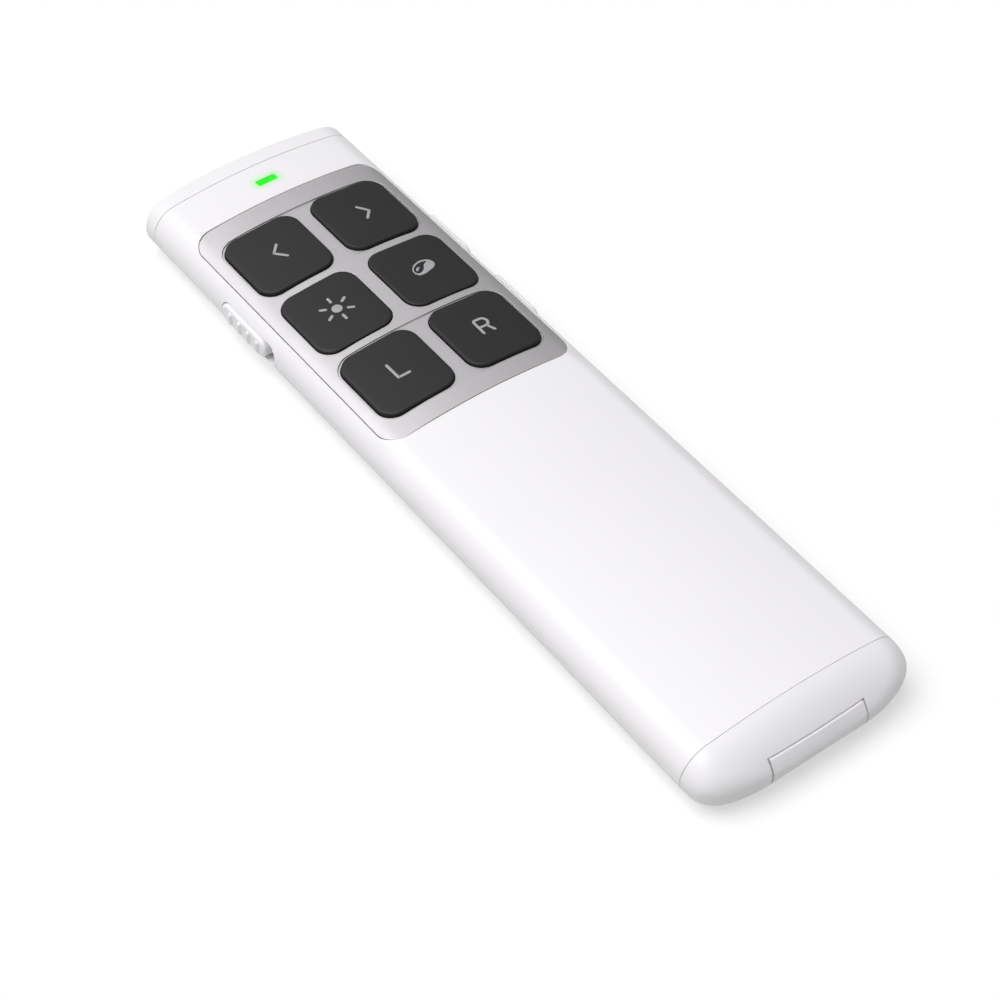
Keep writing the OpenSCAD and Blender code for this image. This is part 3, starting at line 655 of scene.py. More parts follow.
def end_height(x, share, end, upper):
    """Height of the end's upper or lower surface at x and a share of the way to the tip."""
    wide = x / np.maximum(left_over(share, end.side), 1e-9)
    z = section(run_over(wide) if upper else run_under(wide))[1]
    return NOSE_Z + (z - NOSE_Z) * left_over(share, end.top if upper else end.under)


def on_end(x, share, end, upper):
    """Points of an end's upper or lower surface at x and shares of the way to the tip."""
    return np.stack([x + np.zeros_like(share), way_out(share, end), end_height(x, share, end, upper)], -1)


def halving(high, too_far):
    """Where a condition that holds from some point on begins, between 0 and high, by halving forty times."""
    low = np.zeros_like(high)
    for _ in range(40):
        middle = (low + high) / 2
        far = too_far(middle)
        low, high = np.where(far, low, middle), np.where(far, middle, high)
    return low


def last_share(x, end):
    """Share of the way to the tip at which the end is no wider than x, or is cut off by its flat tip."""
    too_narrow = lambda share: HALF_W * left_over(share, end.side) < np.abs(x)
    return np.minimum(halving(np.ones_like(x, float), too_narrow), LAST_SHARE)


def share_at(x, height, end):
    """Share of the way to the tip at which the upper surface over x has come down to a height."""
    return halving(last_share(x, end), lambda share: end_height(x, share, end, True) < height)


def tail_cap():
    """The rear cap round the receiver bay: a middle piece over the bay, a grid of x and share down to its
    roof, and two lobes beside it, each ring's outline from the bay's edge on top to its edge below."""
    rows = 15
    cut, tip = float(share_at(BAY_HALF, BAY_TOP, TAIL)), float(last_share(BAY_HALF, TAIL))
    to_cut, to_tip = math.asin(cut ** (TAIL.side / 2)), math.asin(tip ** (TAIL.side / 2))
    swing = np.concatenate([np.linspace(0, to_cut, rows), np.linspace(to_cut, to_tip, rows)[1:]])
    shares = np.sin(swing) ** (2 / TAIL.side)
    x = np.linspace(-BAY_HALF, BAY_HALF, 23)
    reach = share_at(x, BAY_TOP, TAIL) / cut
    x, share = np.meshgrid(x, shares[:rows], indexing="ij")
    share = share * reach[:, None]
    parts = [skin(on_end(x, share, TAIL, True))]
    wide = np.minimum(BAY_HALF / left_over(shares, TAIL.side), HALF_W - 1e-9)
    above, below = run_over(wide), run_under(wide)
    split = np.linspace(0, 1, 61)
    run = above + (below - above) * split[:, None]
    share = shares + np.zeros_like(run)
    for side in (-1, 1):
        parts.append(skin(drawn_in(run * side, share, TAIL)))
    piece("rear_cap", joined(*parts), "casing", "white_abs", ["tail_cap"], from_axis, WALL, CAP_EDGE)


def bay_liner():
    """Walls of the receiver's bay inside the rear cap: sides and roof of the grip's part and an end wall
    that leaves the plug's opening, then sides and roof of the plug's tunnel, as boxes that run into one
    another. Boxes that meet step back from each other by a hair, so that no two faces lie in one plane."""
    wide = BAY_HALF + BAY_WALL
    deep = BAY_END + BAY_WALL
    narrow = PLUG_HALF + BAY_WALL
    lap = 0.1
    hair = 0.02
    foot = WALL - 3 * lap
    roof = PLUG_TOP + lap
    walls = [block((-wide + lap, BAY_ROOF_Y, BAY_TOP), (wide - lap, deep - lap, BAY_TOP + BAY_WALL)),
             block((-wide + lap, BAY_END, PLUG_TOP), (wide - lap, deep, BAY_TOP + lap)),
             block((-narrow + lap, BAY_END + lap, PLUG_TOP + hair),
                   (narrow - lap, PLUG_END, PLUG_TOP + BAY_WALL))]
    sides = [((BAY_HALF + hair, BAY_RIM_Y, foot), (wide, deep, BAY_TOP + lap)),
             ((PLUG_HALF, BAY_END + hair, foot), (wide - lap, deep - lap, roof)),
             ((PLUG_HALF + hair, BAY_END + lap, foot), (narrow, PLUG_END - lap, roof))]
    walls += [block(low, high) for low, high in sides]
    walls += [block((-high[0], *low[1:]), (-low[0], *high[1:])) for low, high in sides]
    piece("bay_liner", joined(*walls), "casing", "white_abs")


def ring_patch(outer, hole, end, rows=7):
    """The end face between an outer line of points and a hole: rows that are straight in front view, from
    each outer point to the nearest point of the hole, a pill (middle, half length, radius)."""
    (mid_x, mid_z), half, radius = hole
    core = np.stack([np.clip(outer[:, 0] - mid_x, -half, half) + mid_x, np.full(len(outer), mid_z)], -1)
    way = outer - core
    rim = core + radius * way / np.linalg.norm(way, axis=1)[:, None]
    share = np.linspace(0, 1, rows)[:, None, None] ** 1.2
    plan = rim + (outer - rim) * share
    return skin(on_face(plan[..., 0], plan[..., 1], end))


def on_face(x, z, end):
    """The point of an end's face at x and z, at the share where the drawn-in outline passes through it."""
    def outside(share):
        wide = np.abs(x) / np.maximum(left_over(share, end.side), 1e-9)
        level = NOSE_Z + (z - NOSE_Z) / np.maximum(height_left(z, share, end), 1e-9)
        near = np.minimum(wide, HALF_W)
        return (wide > HALF_W) | (level > section(run_over(near))[1]) | (level < section(run_under(near))[1])
    share = halving(np.full_like(x, LAST_SHARE), outside)
    return np.stack([x, way_out(share, end), z], -1)


def front_cap():
    """The front cap: its rings from the seam to the rounded rim, then the end face as two patches, round the
    pointer's window and round the charging socket, which meet on an upright line between them."""
    rim_share = 0.3
    split_x = (LASER[0] + SOCKET[0]) / 2 - 1.2
    scale = float(left_over(rim_share, FRONT.side))
    marks = [float(run_over(abs(split_x) / scale)), float(run_under(abs(split_x) / scale))]
    half = through(0.0, RUN_END, STEP_BELOW, marks, ARC_START[1:5])
    run_line = np.concatenate([-half[:0:-1], half])
    # the row at -1 is the seam, before the rounding starts
    share_line = np.array([-1.0, 0.0, 0.05, 0.12, 0.2, rim_share])
    run, share = np.meshgrid(run_line, share_line, indexing="ij")
    points = drawn_in(run, np.maximum(share, 0), FRONT)
    points[..., 1] = np.where(share < 0, SEAM_FRONT, points[..., 1])
    rim = points[:, -1][:, [0, 2]]
    above = int(np.argmin(np.abs(run_line + marks[0])))
    below = int(np.argmin(np.abs(run_line + marks[1])))
    upright = rim[above] + (rim[below] - rim[above]) * np.linspace(0, 1, 12)[:, None]
    left = np.concatenate([rim[below:above + 1], upright])
    right = np.concatenate([rim[above:], rim[1:below + 1], upright[::-1]])
    shape = joined(skin(points), ring_patch(left, (LASER, 0.0, LASER_R), FRONT),
                   ring_patch(right, (SOCKET, SOCKET_HALF, SOCKET_R), FRONT))
    piece("nose_cap", shape, "casing", "white_abs", ["front_cap"], from_axis, WALL, CAP_EDGE)


def receiver_grip():
    """The receiver's grip, flush with the rear cap: one closed profile for each x, from the roof edge over
    the nose and back below, then along the flat foot, up the inner end and out along the top."""
    x = np.linspace(-GRIP_HALF, GRIP_HALF, 29)
    last = last_share(x, TAIL)
    top = share_at(x, GRIP_TOP, TAIL)
    low = halving(last, lambda share: end_height(x, share, TAIL, False) > GRIP_LIFT)
    swing = np.sin(np.linspace(0, math.pi / 2, 20))[:, None]
    upper = top + (last - top) * swing
    lower = (low + (last - low) * swing)[::-1]
    curve = on_end(x, upper, TAIL, True)
    under = on_end(x, lower, TAIL, False)
    inner = [np.stack([x, np.full_like(x, GRIP_IN_Y), np.full_like(x, z)], -1) for z in (GRIP_LIFT, GRIP_TOP)]
    profile = np.concatenate([curve, under, inner, curve[:1]])
    ends = [np.stack([outline, np.broadcast_to(outline.mean(0), outline.shape)])
            for outline in (profile[:, 0], profile[:, -1])]
    piece("grip_cover", joined(skin(profile), *map(skin, ends)), "receiver", "white_abs",
          ["receiver_grip"], edge=CAP_EDGE)


# ==== Side controls ====

def block(low, high):
    """A box from its low to its high corner, as a grid of points with both ends gathered to their middles."""
    (x0, y0, z0), (x1, y1, z1) = low, high
    ring = np.array([[y0, z0], [y1, z0], [y1, z1], [y0, z1], [y0, z0]])
    centre = ring[:4].mean(0)
    rows = [(x0, 0), (x0, 1), (x1, 1), (x1, 0)]
    return skin(np.array([[(x, *(centre + (corner - centre) * share)) for corner in ring]
                          for x, share in rows]))


def side_control(side, y, length, rise, fillet, past):
    """A pill-shaped face that stands out of the side, with a skirt into the slot, and a plate inside the
    casing wall that reaches past both its ends."""
    skirt = HALF_W + rise - PAD_X + PLATE_T
    u, v, drop = cushion(length / 2, SIDE_H / 2, SIDE_H / 2, fillet, skirt, 12)
    near, far = sorted((side * (PAD_X - PLATE_T), side * PAD_X))
    half = length / 2 + past
    plate = block((near, y - half, SIDE_Z - PLATE_H / 2), (far, y + half, SIDE_Z + PLATE_H / 2))
    return joined(skin(np.stack([side * (HALF_W + rise - drop), y + u, SIDE_Z + v], -1)), plate)


def side_keys():
    """Two slim keys on the right."""
    for name, y in zip(("front", "rear"), SIDE_KEY_YS):
        shape = side_control(1, y, SIDE_KEY_L, SIDE_KEY_RISE, SIDE_KEY_FILLET, KEY_PLATE)
        piece("side_button_" + name, shape, f"side_key_{name}_body", "white_abs", ["side_key_" + name])


def rib(y):
    """An upright ridge on the slider: a round bar of radius RIB_R with ends rounded off like a lens."""
    turn, climb = np.meshgrid(np.linspace(0, 2 * math.pi, 25), np.linspace(-1, 1, 17), indexing="ij")
    radius = RIB_R * np.clip(1 - np.abs(climb) ** 8, 0, 1) ** 0.5
    core_x = RIB_R - RIB_OUT - HALF_W - SLIDER_RISE
    return skin(np.stack([core_x + radius * np.cos(turn), y + radius * np.sin(turn),
                          SIDE_Z + climb * RIB_H / 2], -1))


def power_slider():
    """The thumb piece on the left with four upright ribs."""
    ribs = [rib(RIBS_Y + (step - 1.5) * RIB_PITCH) for step in range(4)]
    thumb = side_control(-1, SLIDER_Y, SLIDER_L, SLIDER_RISE, SLIDER_FILLET, SLIDER_PLATE)
    piece("slider_thumb", joined(thumb, *ribs), "power_slider_body", "white_abs", ["power_slider"])


# ==== Materials ====

def linear(shade):
    """An sRGB hex colour as linear red, green, blue and a full alpha."""
    parts = np.array([int(shade[place:place + 2], 16) for place in (1, 3, 5)]) / 255
    parts = np.where(parts <= 0.04045, parts / 12.92, ((parts + 0.055) / 1.055) ** 2.4)
    return (*map(float, parts), 1.0)


def add(tree, kind, values=None, links=None, **settings):
    """Adds a node with its settings, the values of its sockets and the outputs that feed them."""
    node = tree.nodes.new("ShaderNode" + kind)
    for name, value in settings.items():
        setattr(node, name, value)
    for socket, value in (values or {}).items():
        node.inputs[socket].default_value = value
    for socket, source in (links or {}).items():
        tree.links.new(source, node.inputs[socket])
    return node


def finish(name, shades, drift, grain, height, roughness, values=None):
    """A material in three layers: its colour drifts between two shades over drift mm, a grain of that many
    mm raises the surface by height mm, and its roughness wanders between two values with the drift."""
    material = bpy.data.materials.new(name)
    material.use_nodes = True
    tree = material.node_tree
    shader = tree.nodes["Principled BSDF"]
    for socket, value in (values or {}).items():
        shader.inputs[socket].default_value = value
    place = add(tree, "TexCoord").outputs["Object"]
    clouds = add(tree, "TexNoise", {"Scale": 1 / (drift * MM), "Detail": 3.0}, {"Vector": place})
    colour = add(tree, "ValToRGB", links={"Fac": clouds.outputs["Fac"]})
    for stop, shade, at in zip(colour.color_ramp.elements, shades, (0.3, 0.7)):
        stop.color = linear(shade)
        stop.position = at
    tree.links.new(colour.outputs["Color"], shader.inputs["Base Color"])
    wander = add(tree, "MapRange", {"To Min": roughness[0], "To Max": roughness[1]},
                 {"Value": clouds.outputs["Fac"]})
    tree.links.new(wander.outputs["Result"], shader.inputs["Roughness"])
    grit = add(tree, "TexNoise", {"Scale": 1 / (grain * MM), "Detail": 2.0}, {"Vector": place})
    bump = add(tree, "Bump", {"Distance": height * MM, "Strength": 1.0}, {"Height": grit.outputs["Fac"]})
    tree.links.new(bump.outputs["Normal"], shader.inputs["Normal"])
    return material


METAL = {"Metallic": 1.0}


def white_abs():
    """Moulded ABS from a finely spark-eroded tool: a bright, barely violet white with a soft satin sheen.
    Round the lit window a green glow is painted on the wall: faint green emission and a green tint of its
    colour, less and less over GLOW_REACH."""
    white = finish("white_moulded_abs", ("#F4F2F4", "#F2F0F3"), 30, 0.35, 0.004, (0.36, 0.42),
                   {"IOR": 1.53, "Emission Color": linear("#3CF03C")})
    tree = white.node_tree
    place = add(tree, "TexCoord").outputs["Object"]
    middle = (0.0, LIGHT_Y * MM, CROWN_TOP * MM)
    half = (LIGHT_W / 2 * MM, LIGHT_L / 2 * MM, 0.0)
    # painted glow: distance from the lit window, which fades the green emission and the green tint of the
    # base colour
    away = add(tree, "VectorMath", {1: middle}, {0: place}, operation="SUBTRACT")
    to_side = add(tree, "VectorMath", links={0: away.outputs["Vector"]}, operation="ABSOLUTE")
    past = add(tree, "VectorMath", {1: half}, {0: to_side.outputs["Vector"]}, operation="SUBTRACT")
    outside = add(tree, "VectorMath", {1: (0.0, 0.0, 0.0)}, {0: past.outputs["Vector"]}, operation="MAXIMUM")
    distance = add(tree, "VectorMath", links={0: outside.outputs["Vector"]}, operation="LENGTH")
    glow = add(tree, "MapRange", {"From Min": 0.0, "From Max": GLOW_REACH * MM, "To Min": 1.0, "To Max": 0.0},
               {"Value": distance.outputs["Value"]}, interpolation_type="SMOOTHERSTEP")
    faint = add(tree, "Math", {1: GLOW}, {0: glow.outputs["Result"]}, operation="MULTIPLY")
    shader = tree.nodes["Principled BSDF"]
    tree.links.new(faint.outputs[0], shader.inputs["Emission Strength"])
    shade = shader.inputs["Base Color"].links[0].from_socket
    # painted glow: the base colour tinted green near the window, where light from the pipe would fall
    glow_painted_colour = add(tree, "Mix", {"B": linear("#C4F2C3")}, {"A": shade, "Factor": glow.outputs["Result"]},
                 data_type="RGBA")
    tree.links.new(glow_painted_colour.outputs[2], shader.inputs["Base Color"])
    return white


def satin_panel():
    """Aluminium sheet, fine-blasted and clear anodised: an even silver that brightens softly towards the
    light."""
    return finish("blasted_anodised_aluminium", ("#B8B6B8", "#B4B2B4"), 12, 0.25, 0.006, (0.54, 0.6),
                  METAL)


def key_abs():
    """Dark grey ABS with a fine matt texture on its face."""
    return finish("dark_matt_abs", ("#1A171A", "#171417"), 8, 0.3, 0.006, (0.42, 0.5),
                  {"IOR": 1.53, "Specular IOR Level": 0.32})


def black_nylon():
    """Nylon moulded black, with the dull gleam of a part that slides."""
    return finish("black_nylon", ("#161616", "#1B1B1C"), 6, 0.3, 0.004, (0.4, 0.5), {"IOR": 1.53})


def stamped_steel():
    """Thin nickel-plated steel, stamped: bright, with faint rolling waviness."""
    return finish("plated_stamped_steel", ("#C9CBCF", "#BDC0C4"), 5, 1.2, 0.006, (0.25, 0.34), METAL)


def screw_steel():
    """Zinc-plated screw steel, a little greyer and duller than the stamped parts."""
    return finish("zinc_plated_steel", ("#B4B6BA", "#A6A8AD"), 2, 0.4, 0.006, (0.3, 0.42), METAL)


def circuit_board():
    """Glass-epoxy laminate under green solder mask, patchy where copper lies under it."""
    return finish("green_solder_mask", ("#135A33", "#0E4527"), 1.6, 0.5, 0.01, (0.28, 0.4), {"IOR": 1.55})


def chip_epoxy():
    """Transfer-moulded black epoxy of chip packages, matt and very slightly mottled."""
    return finish("moulded_chip_epoxy", ("#1C1C1E", "#232325"), 1.5, 0.15, 0.005, (0.55, 0.65), {"IOR": 1.55})


def antenna_ceramic():
    """Sintered white ceramic, chalky and dense."""
    return finish("sintered_ceramic", ("#E8E8E2", "#DEDED8"), 1.5, 0.2, 0.004, (0.45, 0.55), {"IOR": 1.6})


def led_epoxy():
    """Clear cast epoxy over a pale green die."""
    return finish("cast_led_epoxy", ("#E2EED8", "#D6E8CC"), 0.8, 0.4, 0.002, (0.12, 0.2), {"IOR": 1.55})


def light_polycarbonate():
    """Polished polycarbonate light pipe, lit from below: an even, saturated green."""
    return finish("lit_green_polycarbonate", ("#1ED816", "#1ACE12"), 1.5, 0.5, 0.001, (0.2, 0.26),
                  {"IOR": 1.585, "Specular IOR Level": 0.2, "Emission Color": linear("#18DE10"),
                   "Emission Strength": 0.4})


def barrel_brass():
    """Turned brass, finely marked by the tool."""
    return finish("turned_brass", ("#D8B36A", "#CDA65A"), 3, 0.2, 0.004, (0.22, 0.32), METAL)


def contact_gold():
    """Hard gold flash over nickel on the contact strips."""
    return finish("gold_flash", ("#E5C069", "#DDB55C"), 2, 0.3, 0.002, (0.18, 0.26), METAL)


def lens_glass():
    """Polished optical glass with a faint blue coating."""
    return finish("coated_lens_glass", ("#E9F2FA", "#E2EDF8"), 2, 1.0, 0.0005, (0.02, 0.05),
                  {"IOR": 1.52, "Transmission Weight": 0.9})


def window_acrylic():
    """Dark red acrylic that lets only the pointer's red light through."""
    return finish("dark_red_acrylic", ("#4A0B0D", "#3F090B"), 3, 1.0, 0.0005, (0.06, 0.1), {"IOR": 1.49})


def wire_pvc():
    """Soft red PVC sheath of the leads, extruded and slightly waxy."""
    return finish("red_wire_pvc", ("#B3201F", "#A41B1B"), 2, 0.3, 0.003, (0.38, 0.48), {"IOR": 1.54})


def pouch_foil():
    """Laminated aluminium foil round the cell, with shallow creases."""
    return finish("laminated_pouch_foil", ("#C4C7CB", "#B8BBC0"), 6, 2.4, 0.05, (0.26, 0.38), METAL)


def tape_foam():
    """Black closed-cell foam tape."""
    return finish("black_foam_tape", ("#1A1A1A", "#202020"), 2, 0.25, 0.03, (0.8, 0.9), {"IOR": 1.5})


def printed_ink():
    """Light grey pad-printing ink on the keys, thin and matt."""
    return finish("grey_pad_print_ink", ("#A9A8AB", "#A3A2A5"), 1, 0.2, 0.002, (0.5, 0.58), {"IOR": 1.5})


FINISHES = {
    "white_abs": white_abs(), "panel_satin_silver": satin_panel(), "key_dark": key_abs(),
    "black_nylon": black_nylon(), "steel": stamped_steel(), "screw_steel": screw_steel(),
    "circuit_board": circuit_board(), "chip_epoxy": chip_epoxy(), "ceramic_white": antenna_ceramic(),
    "led_body": led_epoxy(), "light_green": light_polycarbonate(), "brass": barrel_brass(),
    "gold_plate": contact_gold(), "lens_glass": lens_glass(), "window_red": window_acrylic(),
    "lead_red": wire_pvc(), "foil_pouch": pouch_foil(), "foam_tape": tape_foam(),
}
INK = printed_ink()


def dress_nodes():
    """Gives every carried-over node the finish of its slot."""
    slots = {part["node"]: part["material_slot"] for part in frame["record"]["subparts"]}
    for node, made in frame["nodes"].items():
        for place in made.material_slots:
            place.material = FINISHES[slots[node]]


# ==== Printed signs ====

INK_RISE = 0.012
STROKE = 0.22


def along(path, count):
    """Points at count cosine-spaced shares of a path's length, so that they crowd towards its two ends."""
    path = np.asarray(path, float)
    run = np.concatenate([[0], np.cumsum(np.hypot(*np.diff(path, axis=0).T))])
    at = run[-1] * (1 - np.cos(np.linspace(0, math.pi, count))) / 2
    return at, np.stack([np.interp(at, run, path[:, side]) for side in (0, 1)], 1)


def ribbon(path, half, count=40):
    """A film of ink along a path: at each point it reaches half to both sides, square to the path, and near
    the ends only as far as a circle of that radius does, so the ends are round. Its edges meet the key."""
    at, middle = along(path, count)
    to_end = np.minimum(at, at[-1] - at)
    reach = np.sqrt(np.clip(half ** 2 - np.clip(half - to_end, 0, None) ** 2, 0, None))
    ahead = np.gradient(middle, axis=0)
    ahead /= np.linalg.norm(ahead, axis=1)[:, None]
    across = np.stack([-ahead[:, 1], ahead[:, 0]], 1)
    side = np.array([-1, -0.94, 0, 0.94, 1, 0.94, 0, -0.94, -1])
    rise = np.array([0, 1, 1, 1, 0, -1, -1, -1, 0]) * INK_RISE
    plan = middle[:, None] + across[:, None] * (side[None, :, None] * reach[:, None, None])
    points = np.concatenate([plan, np.broadcast_to(rise[None, :, None], plan.shape[:2] + (1,))], 2)
    return skin(points)


def straight(*corners):
    """Ribbons of one stroke's width between neighbouring corners; where two meet, both reach half a width
    past the corner, so that their round ends make a round join."""
    strokes = []
    corners = [np.array(corner) for corner in corners]
    for step, (start, end) in enumerate(zip(corners[:-1], corners[1:])):
        way = (end - start) / np.linalg.norm(end - start) * STROKE
        strokes.append(ribbon([start - way * (step > 0), end + way * (step < len(corners) - 2)], STROKE))
    return strokes


def sun():
    """A disc, and six rays round it at steps of sixty degrees."""
    middle = np.array([0.22, 0.22])
    disc = ribbon([middle - (0.8, 0), middle + (0.8, 0)], 0.8)
    turns = np.radians(30 + 60 * np.arange(6))
    rays = [ribbon([middle + 1.4 * way, middle + 2.6 * way], STROKE) for way in
            (np.array([math.cos(turn), math.sin(turn)]) for turn in turns)]
    return [disc, *rays]


def letter_r():
    """A stem, a leg, and a bowl whose path is half a circle between two short straights."""
    turn = np.linspace(math.pi / 2, -math.pi / 2, 24)
    bowl = np.stack([0.25 + 0.76 * np.cos(turn), 0.88 + 0.79 * np.sin(turn)], 1)
    stem = straight((-0.92, 1.67), (-0.97, -1.38))
    leg = straight((0.35, 0.09), (0.98, -1.38))
    return [*stem, ribbon([(-0.92, 1.67), *bowl, (-0.92, 0.09)], STROKE, 80), *leg]


def loop_through(corners, parts=8):
    """A smooth closed line through corners: between two of them the cubic whose slopes at both run along
    the line from the corner before to the corner after (Catmull-Rom)."""
    before, here, after, beyond = [np.roll(corners, back, 0)[:, None] for back in (1, 0, -1, -2)]
    share = (np.arange(parts) / parts)[None, :, None]
    bend = 2 * before - 5 * here + 4 * after - beyond
    twist = 3 * here - before - 3 * after + beyond
    return (here + ((after - before) * share + bend * share ** 2 + twist * share ** 3) / 2).reshape(-1, 2)


def reach_round(corners, middle, turn):
    """How far the smooth line through corners lies from the middle, at each of the given directions."""
    away = loop_through(np.array(corners)) - middle
    return np.interp(turn, np.arctan2(away[:, 1], away[:, 0]), np.hypot(*away.T), period=2 * math.pi)


def film(middle, outer, inner=None):
    """A film of ink between an inner and an outer line, both given by their reach round a middle; without
    an inner line it is whole. Its edges meet the key, as a ribbon's do."""
    turn = np.linspace(0, 2 * math.pi, 97)
    far = reach_round(outer, middle, turn)
    near = np.full_like(turn, 0.0) if inner is None else reach_round(inner, middle, turn)
    share = np.array([1, 0.95, 0, 0, 0, 0.95, 1] if inner is None else [1, 0.96, 0.04, 0, 0.04, 0.96, 1])
    rise = np.array([0, 1, 1, 0, -1, -1, 0]) * INK_RISE
    reach = near + (far - near) * share[:, None]
    return skin(np.stack([middle[0] + reach * np.cos(turn), middle[1] + reach * np.sin(turn),
                          rise[:, None] + np.zeros_like(reach)], -1))


EGG = [(-1.5, 0.58), (-0.94, 1.15), (-0.23, 1.49), (0.55, 1.63), (1.44, 1.4), (1.95, 0.94), (2.15, 0.35),
       (1.98, -0.18), (1.44, -0.64), (0.62, -0.91), (-0.16, -1.13), (-0.93, -1.18), (-1.42, -1.0),
       (-1.71, -0.53), (-1.73, 0.03)]
DROP = [(1.3, 1.02), (0.7, 1.28), (-0.16, 1.21), (-0.9, 0.86), (-1.4, 0.35), (-1.53, -0.2), (-1.27, -0.62),
        (-0.78, -0.66), (-0.18, -0.34), (0.24, 0.18), (0.5, 0.56), (0.86, 0.82)]
GLEAM = [(-0.3, 0.44), (-0.66, 0.51), (-1.01, 0.34), (-1.17, 0.02), (-1.1, -0.18), (-0.8, 0.02)]


def drop():
    """An egg of ink with a bare drop in it, and a gleam of ink in the drop."""
    return [film(np.array([-0.52, 0.27]), EGG, DROP), film(np.array([-0.88, 0.2]), GLEAM)]


SIGNS = {
    "previous": lambda: straight((0.8, 1.8), (-0.6, 0.3), (0.88, -1.45)),
    "next": lambda: straight((-0.37, 1.84), (0.97, 0.1), (-0.38, -1.42)),
    "highlight": sun,
    "screen": drop,
    "left": lambda: straight((-0.67, 1.9), (-0.62, -1.22), (1.38, -1.3)),
    "right": letter_r,
}


def print_signs():
    """Puts each key's sign on its face: a point moves to the key's middle and up onto the crowned face."""
    for name, sign in SIGNS.items():
        points, faces = joined(*sign())
        points[:, :2] += key_centre(name)
        points[:, 2] += crown(points[:, 0], KEY_RISE)
        piece("sign_" + name, (points, faces), f"key_{name}_body", "key_dark", material=INK)


def make_object():
    """Makes every piece."""
    dress_nodes()
    top_shell()
    bottom_shell()
    front_cap()
    tail_cap()
    bay_liner()
    receiver_grip()
    key_panel()
    keys()
    print_signs()
    lit_window()
    side_keys()
    power_slider()


# ==== Floor, light and camera ====

FLOOR_REACH = 1600
FLOOR_DROP = 0.02


def floor():
    """A wide flat sheet of paper, a hair under the object."""
    reach = np.linspace(-FLOOR_REACH, FLOOR_REACH, 9)
    x, y = np.meshgrid(reach, reach, indexing="ij")
    points = np.stack([x, y, np.full_like(x, -FLOOR_DROP)], -1).reshape(-1, 3)
    mesh = bpy.data.meshes.new("floor")
    mesh.from_pydata((points * MM).tolist(), [], grid_faces(9, 9).reshape(-1, 4).tolist())
    mesh.materials.append(paper_sheet())
    placed("floor", mesh)


def paper_sheet():
    """White seamless paper. It gives back only part of the light, so that the object's flanks keep their
    shade, and what looks straight at it or mirrors it sees it lifted to plain white."""
    paper = finish("white_seamless_paper", ("#BCBCBC", "#BABABA"), 400, 2, 0.002, (0.9, 0.95))
    tree = paper.node_tree
    path = add(tree, "LightPath")
    straight_or_clear = add(tree, "Math", links={0: path.outputs["Is Camera Ray"],
                                                 1: path.outputs["Is Transmission Ray"]}, operation="MAXIMUM")
    seen = add(tree, "Math", links={0: straight_or_clear.outputs[0], 1: path.outputs["Is Glossy Ray"]},
               operation="MAXIMUM")
    lift = add(tree, "Math", {1: 0.5}, {0: seen.outputs[0]}, operation="MULTIPLY")
    shader = tree.nodes["Principled BSDF"]
    shader.inputs["Emission Color"].default_value = linear("#FFFFFF")
    tree.links.new(lift.outputs[0], shader.inputs["Emission Strength"])
    return paper


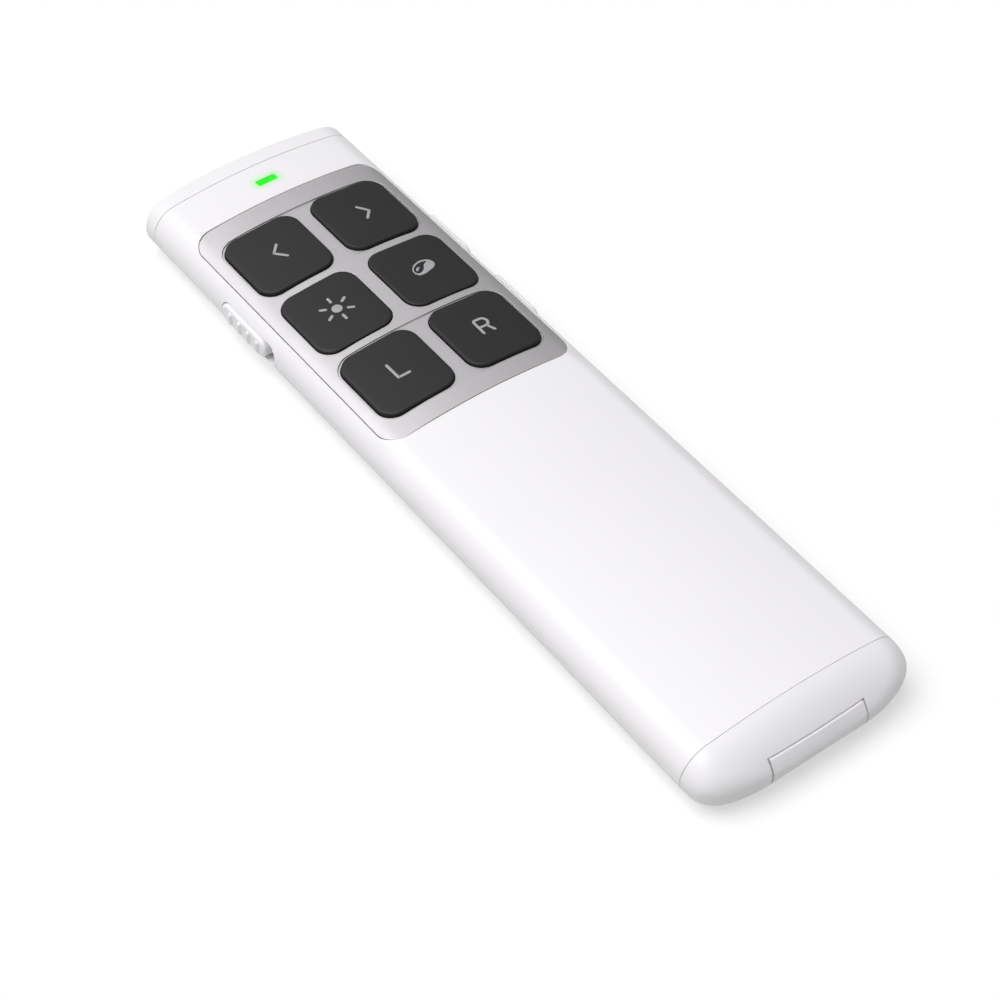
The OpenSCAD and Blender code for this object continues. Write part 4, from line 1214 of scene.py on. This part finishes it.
def room_light():
    """Soft light from all round, brighter from above and from the tail's side. The camera and glass see plain
    white there, and gloss sees plain white that falls off to grey towards the right."""
    world = bpy.data.worlds.new("room_light")
    bpy.context.scene.world = world
    world.use_nodes = True
    tree = world.node_tree
    tree.nodes.clear()
    way = add(tree, "TexCoord").outputs["Generated"]
    upward = add(tree, "VectorMath", {1: (-0.2, -0.5, 0.84)}, {0: way}, operation="DOT_PRODUCT")
    level = add(tree, "MapRange", {"From Min": -0.2, "From Max": 1.0, "To Min": 0.1, "To Max": 0.46},
                {"Value": upward.outputs["Value"]})
    leftward = add(tree, "VectorMath", {1: (-0.8, 0.0, 0.6)}, {0: way}, operation="DOT_PRODUCT")
    fall = add(tree, "MapRange", {"From Min": -0.55, "From Max": 0.32, "To Min": 0.18, "To Max": 1.0},
               {"Value": leftward.outputs["Value"]})
    lit = add(tree, "Background", {"Color": linear("#FFFFFF")}, {"Strength": level.outputs["Result"]})
    mirrored = add(tree, "Background", {"Color": linear("#FFFFFF")}, {"Strength": fall.outputs["Result"]})
    seen = add(tree, "Background", {"Color": linear("#FFFFFF"), "Strength": 1.0})
    path = add(tree, "LightPath")
    glossy = add(tree, "MixShader", links={0: path.outputs["Is Glossy Ray"], 1: lit.outputs[0],
                                           2: mirrored.outputs[0]})
    clear = add(tree, "Math", links={0: path.outputs["Is Camera Ray"],
                                     1: path.outputs["Is Transmission Ray"]}, operation="MAXIMUM")
    mixed = add(tree, "MixShader", links={0: clear.outputs[0], 1: glossy.outputs[0], 2: seen.outputs[0]})
    add(tree, "OutputWorld", links={"Surface": mixed.outputs[0]})


def soft_lamp():
    """One large soft light, far off, up to the left and a little to the front end."""
    lamp = bpy.data.lights.new("soft_lamp", "SUN")
    lamp.angle = math.radians(50)
    lamp.energy = 2.33
    made = placed("soft_lamp", lamp)
    made.matrix_world = Vector((0.36, -0.2, -0.91)).to_track_quat("-Z", "Y").to_matrix().to_4x4()


# place in millimetres, then azimuth, elevation and roll, then focal length and shift
CAMERA_PLACE = np.array([-140.094, -182.344, 243.546])
CAMERA_TURN = np.radians([-37.454, 47.734, 1.014])
CAMERA_LENS = 86.22
CAMERA_SHIFT = 0.002


def camera():
    """A long lens over the left of the tail, aimed by azimuth and elevation and rolled by a degree."""
    round_z, up_turn, roll = CAMERA_TURN
    back = np.array([math.sin(round_z) * math.cos(up_turn), -math.cos(round_z) * math.cos(up_turn),
                     math.sin(up_turn)])
    right = np.array([math.cos(round_z), math.sin(round_z), 0])
    up = np.cross(back, right)
    axes = np.stack([right * math.cos(roll) + up * math.sin(roll),
                     up * math.cos(roll) - right * math.sin(roll), back])
    view = bpy.data.cameras.new("camera")
    view.lens = CAMERA_LENS
    view.shift_x = CAMERA_SHIFT
    view.shift_y = CAMERA_SHIFT
    view.clip_start = 0.01
    made = placed("camera", view)
    made.matrix_world = Matrix.Translation(CAMERA_PLACE * MM) @ Matrix(axes.T.tolist()).to_4x4()
    bpy.context.scene.camera = made


make_object()
camera()
floor()
room_light()
soft_lamp()
bpy.context.scene.view_settings.view_transform = "Standard"
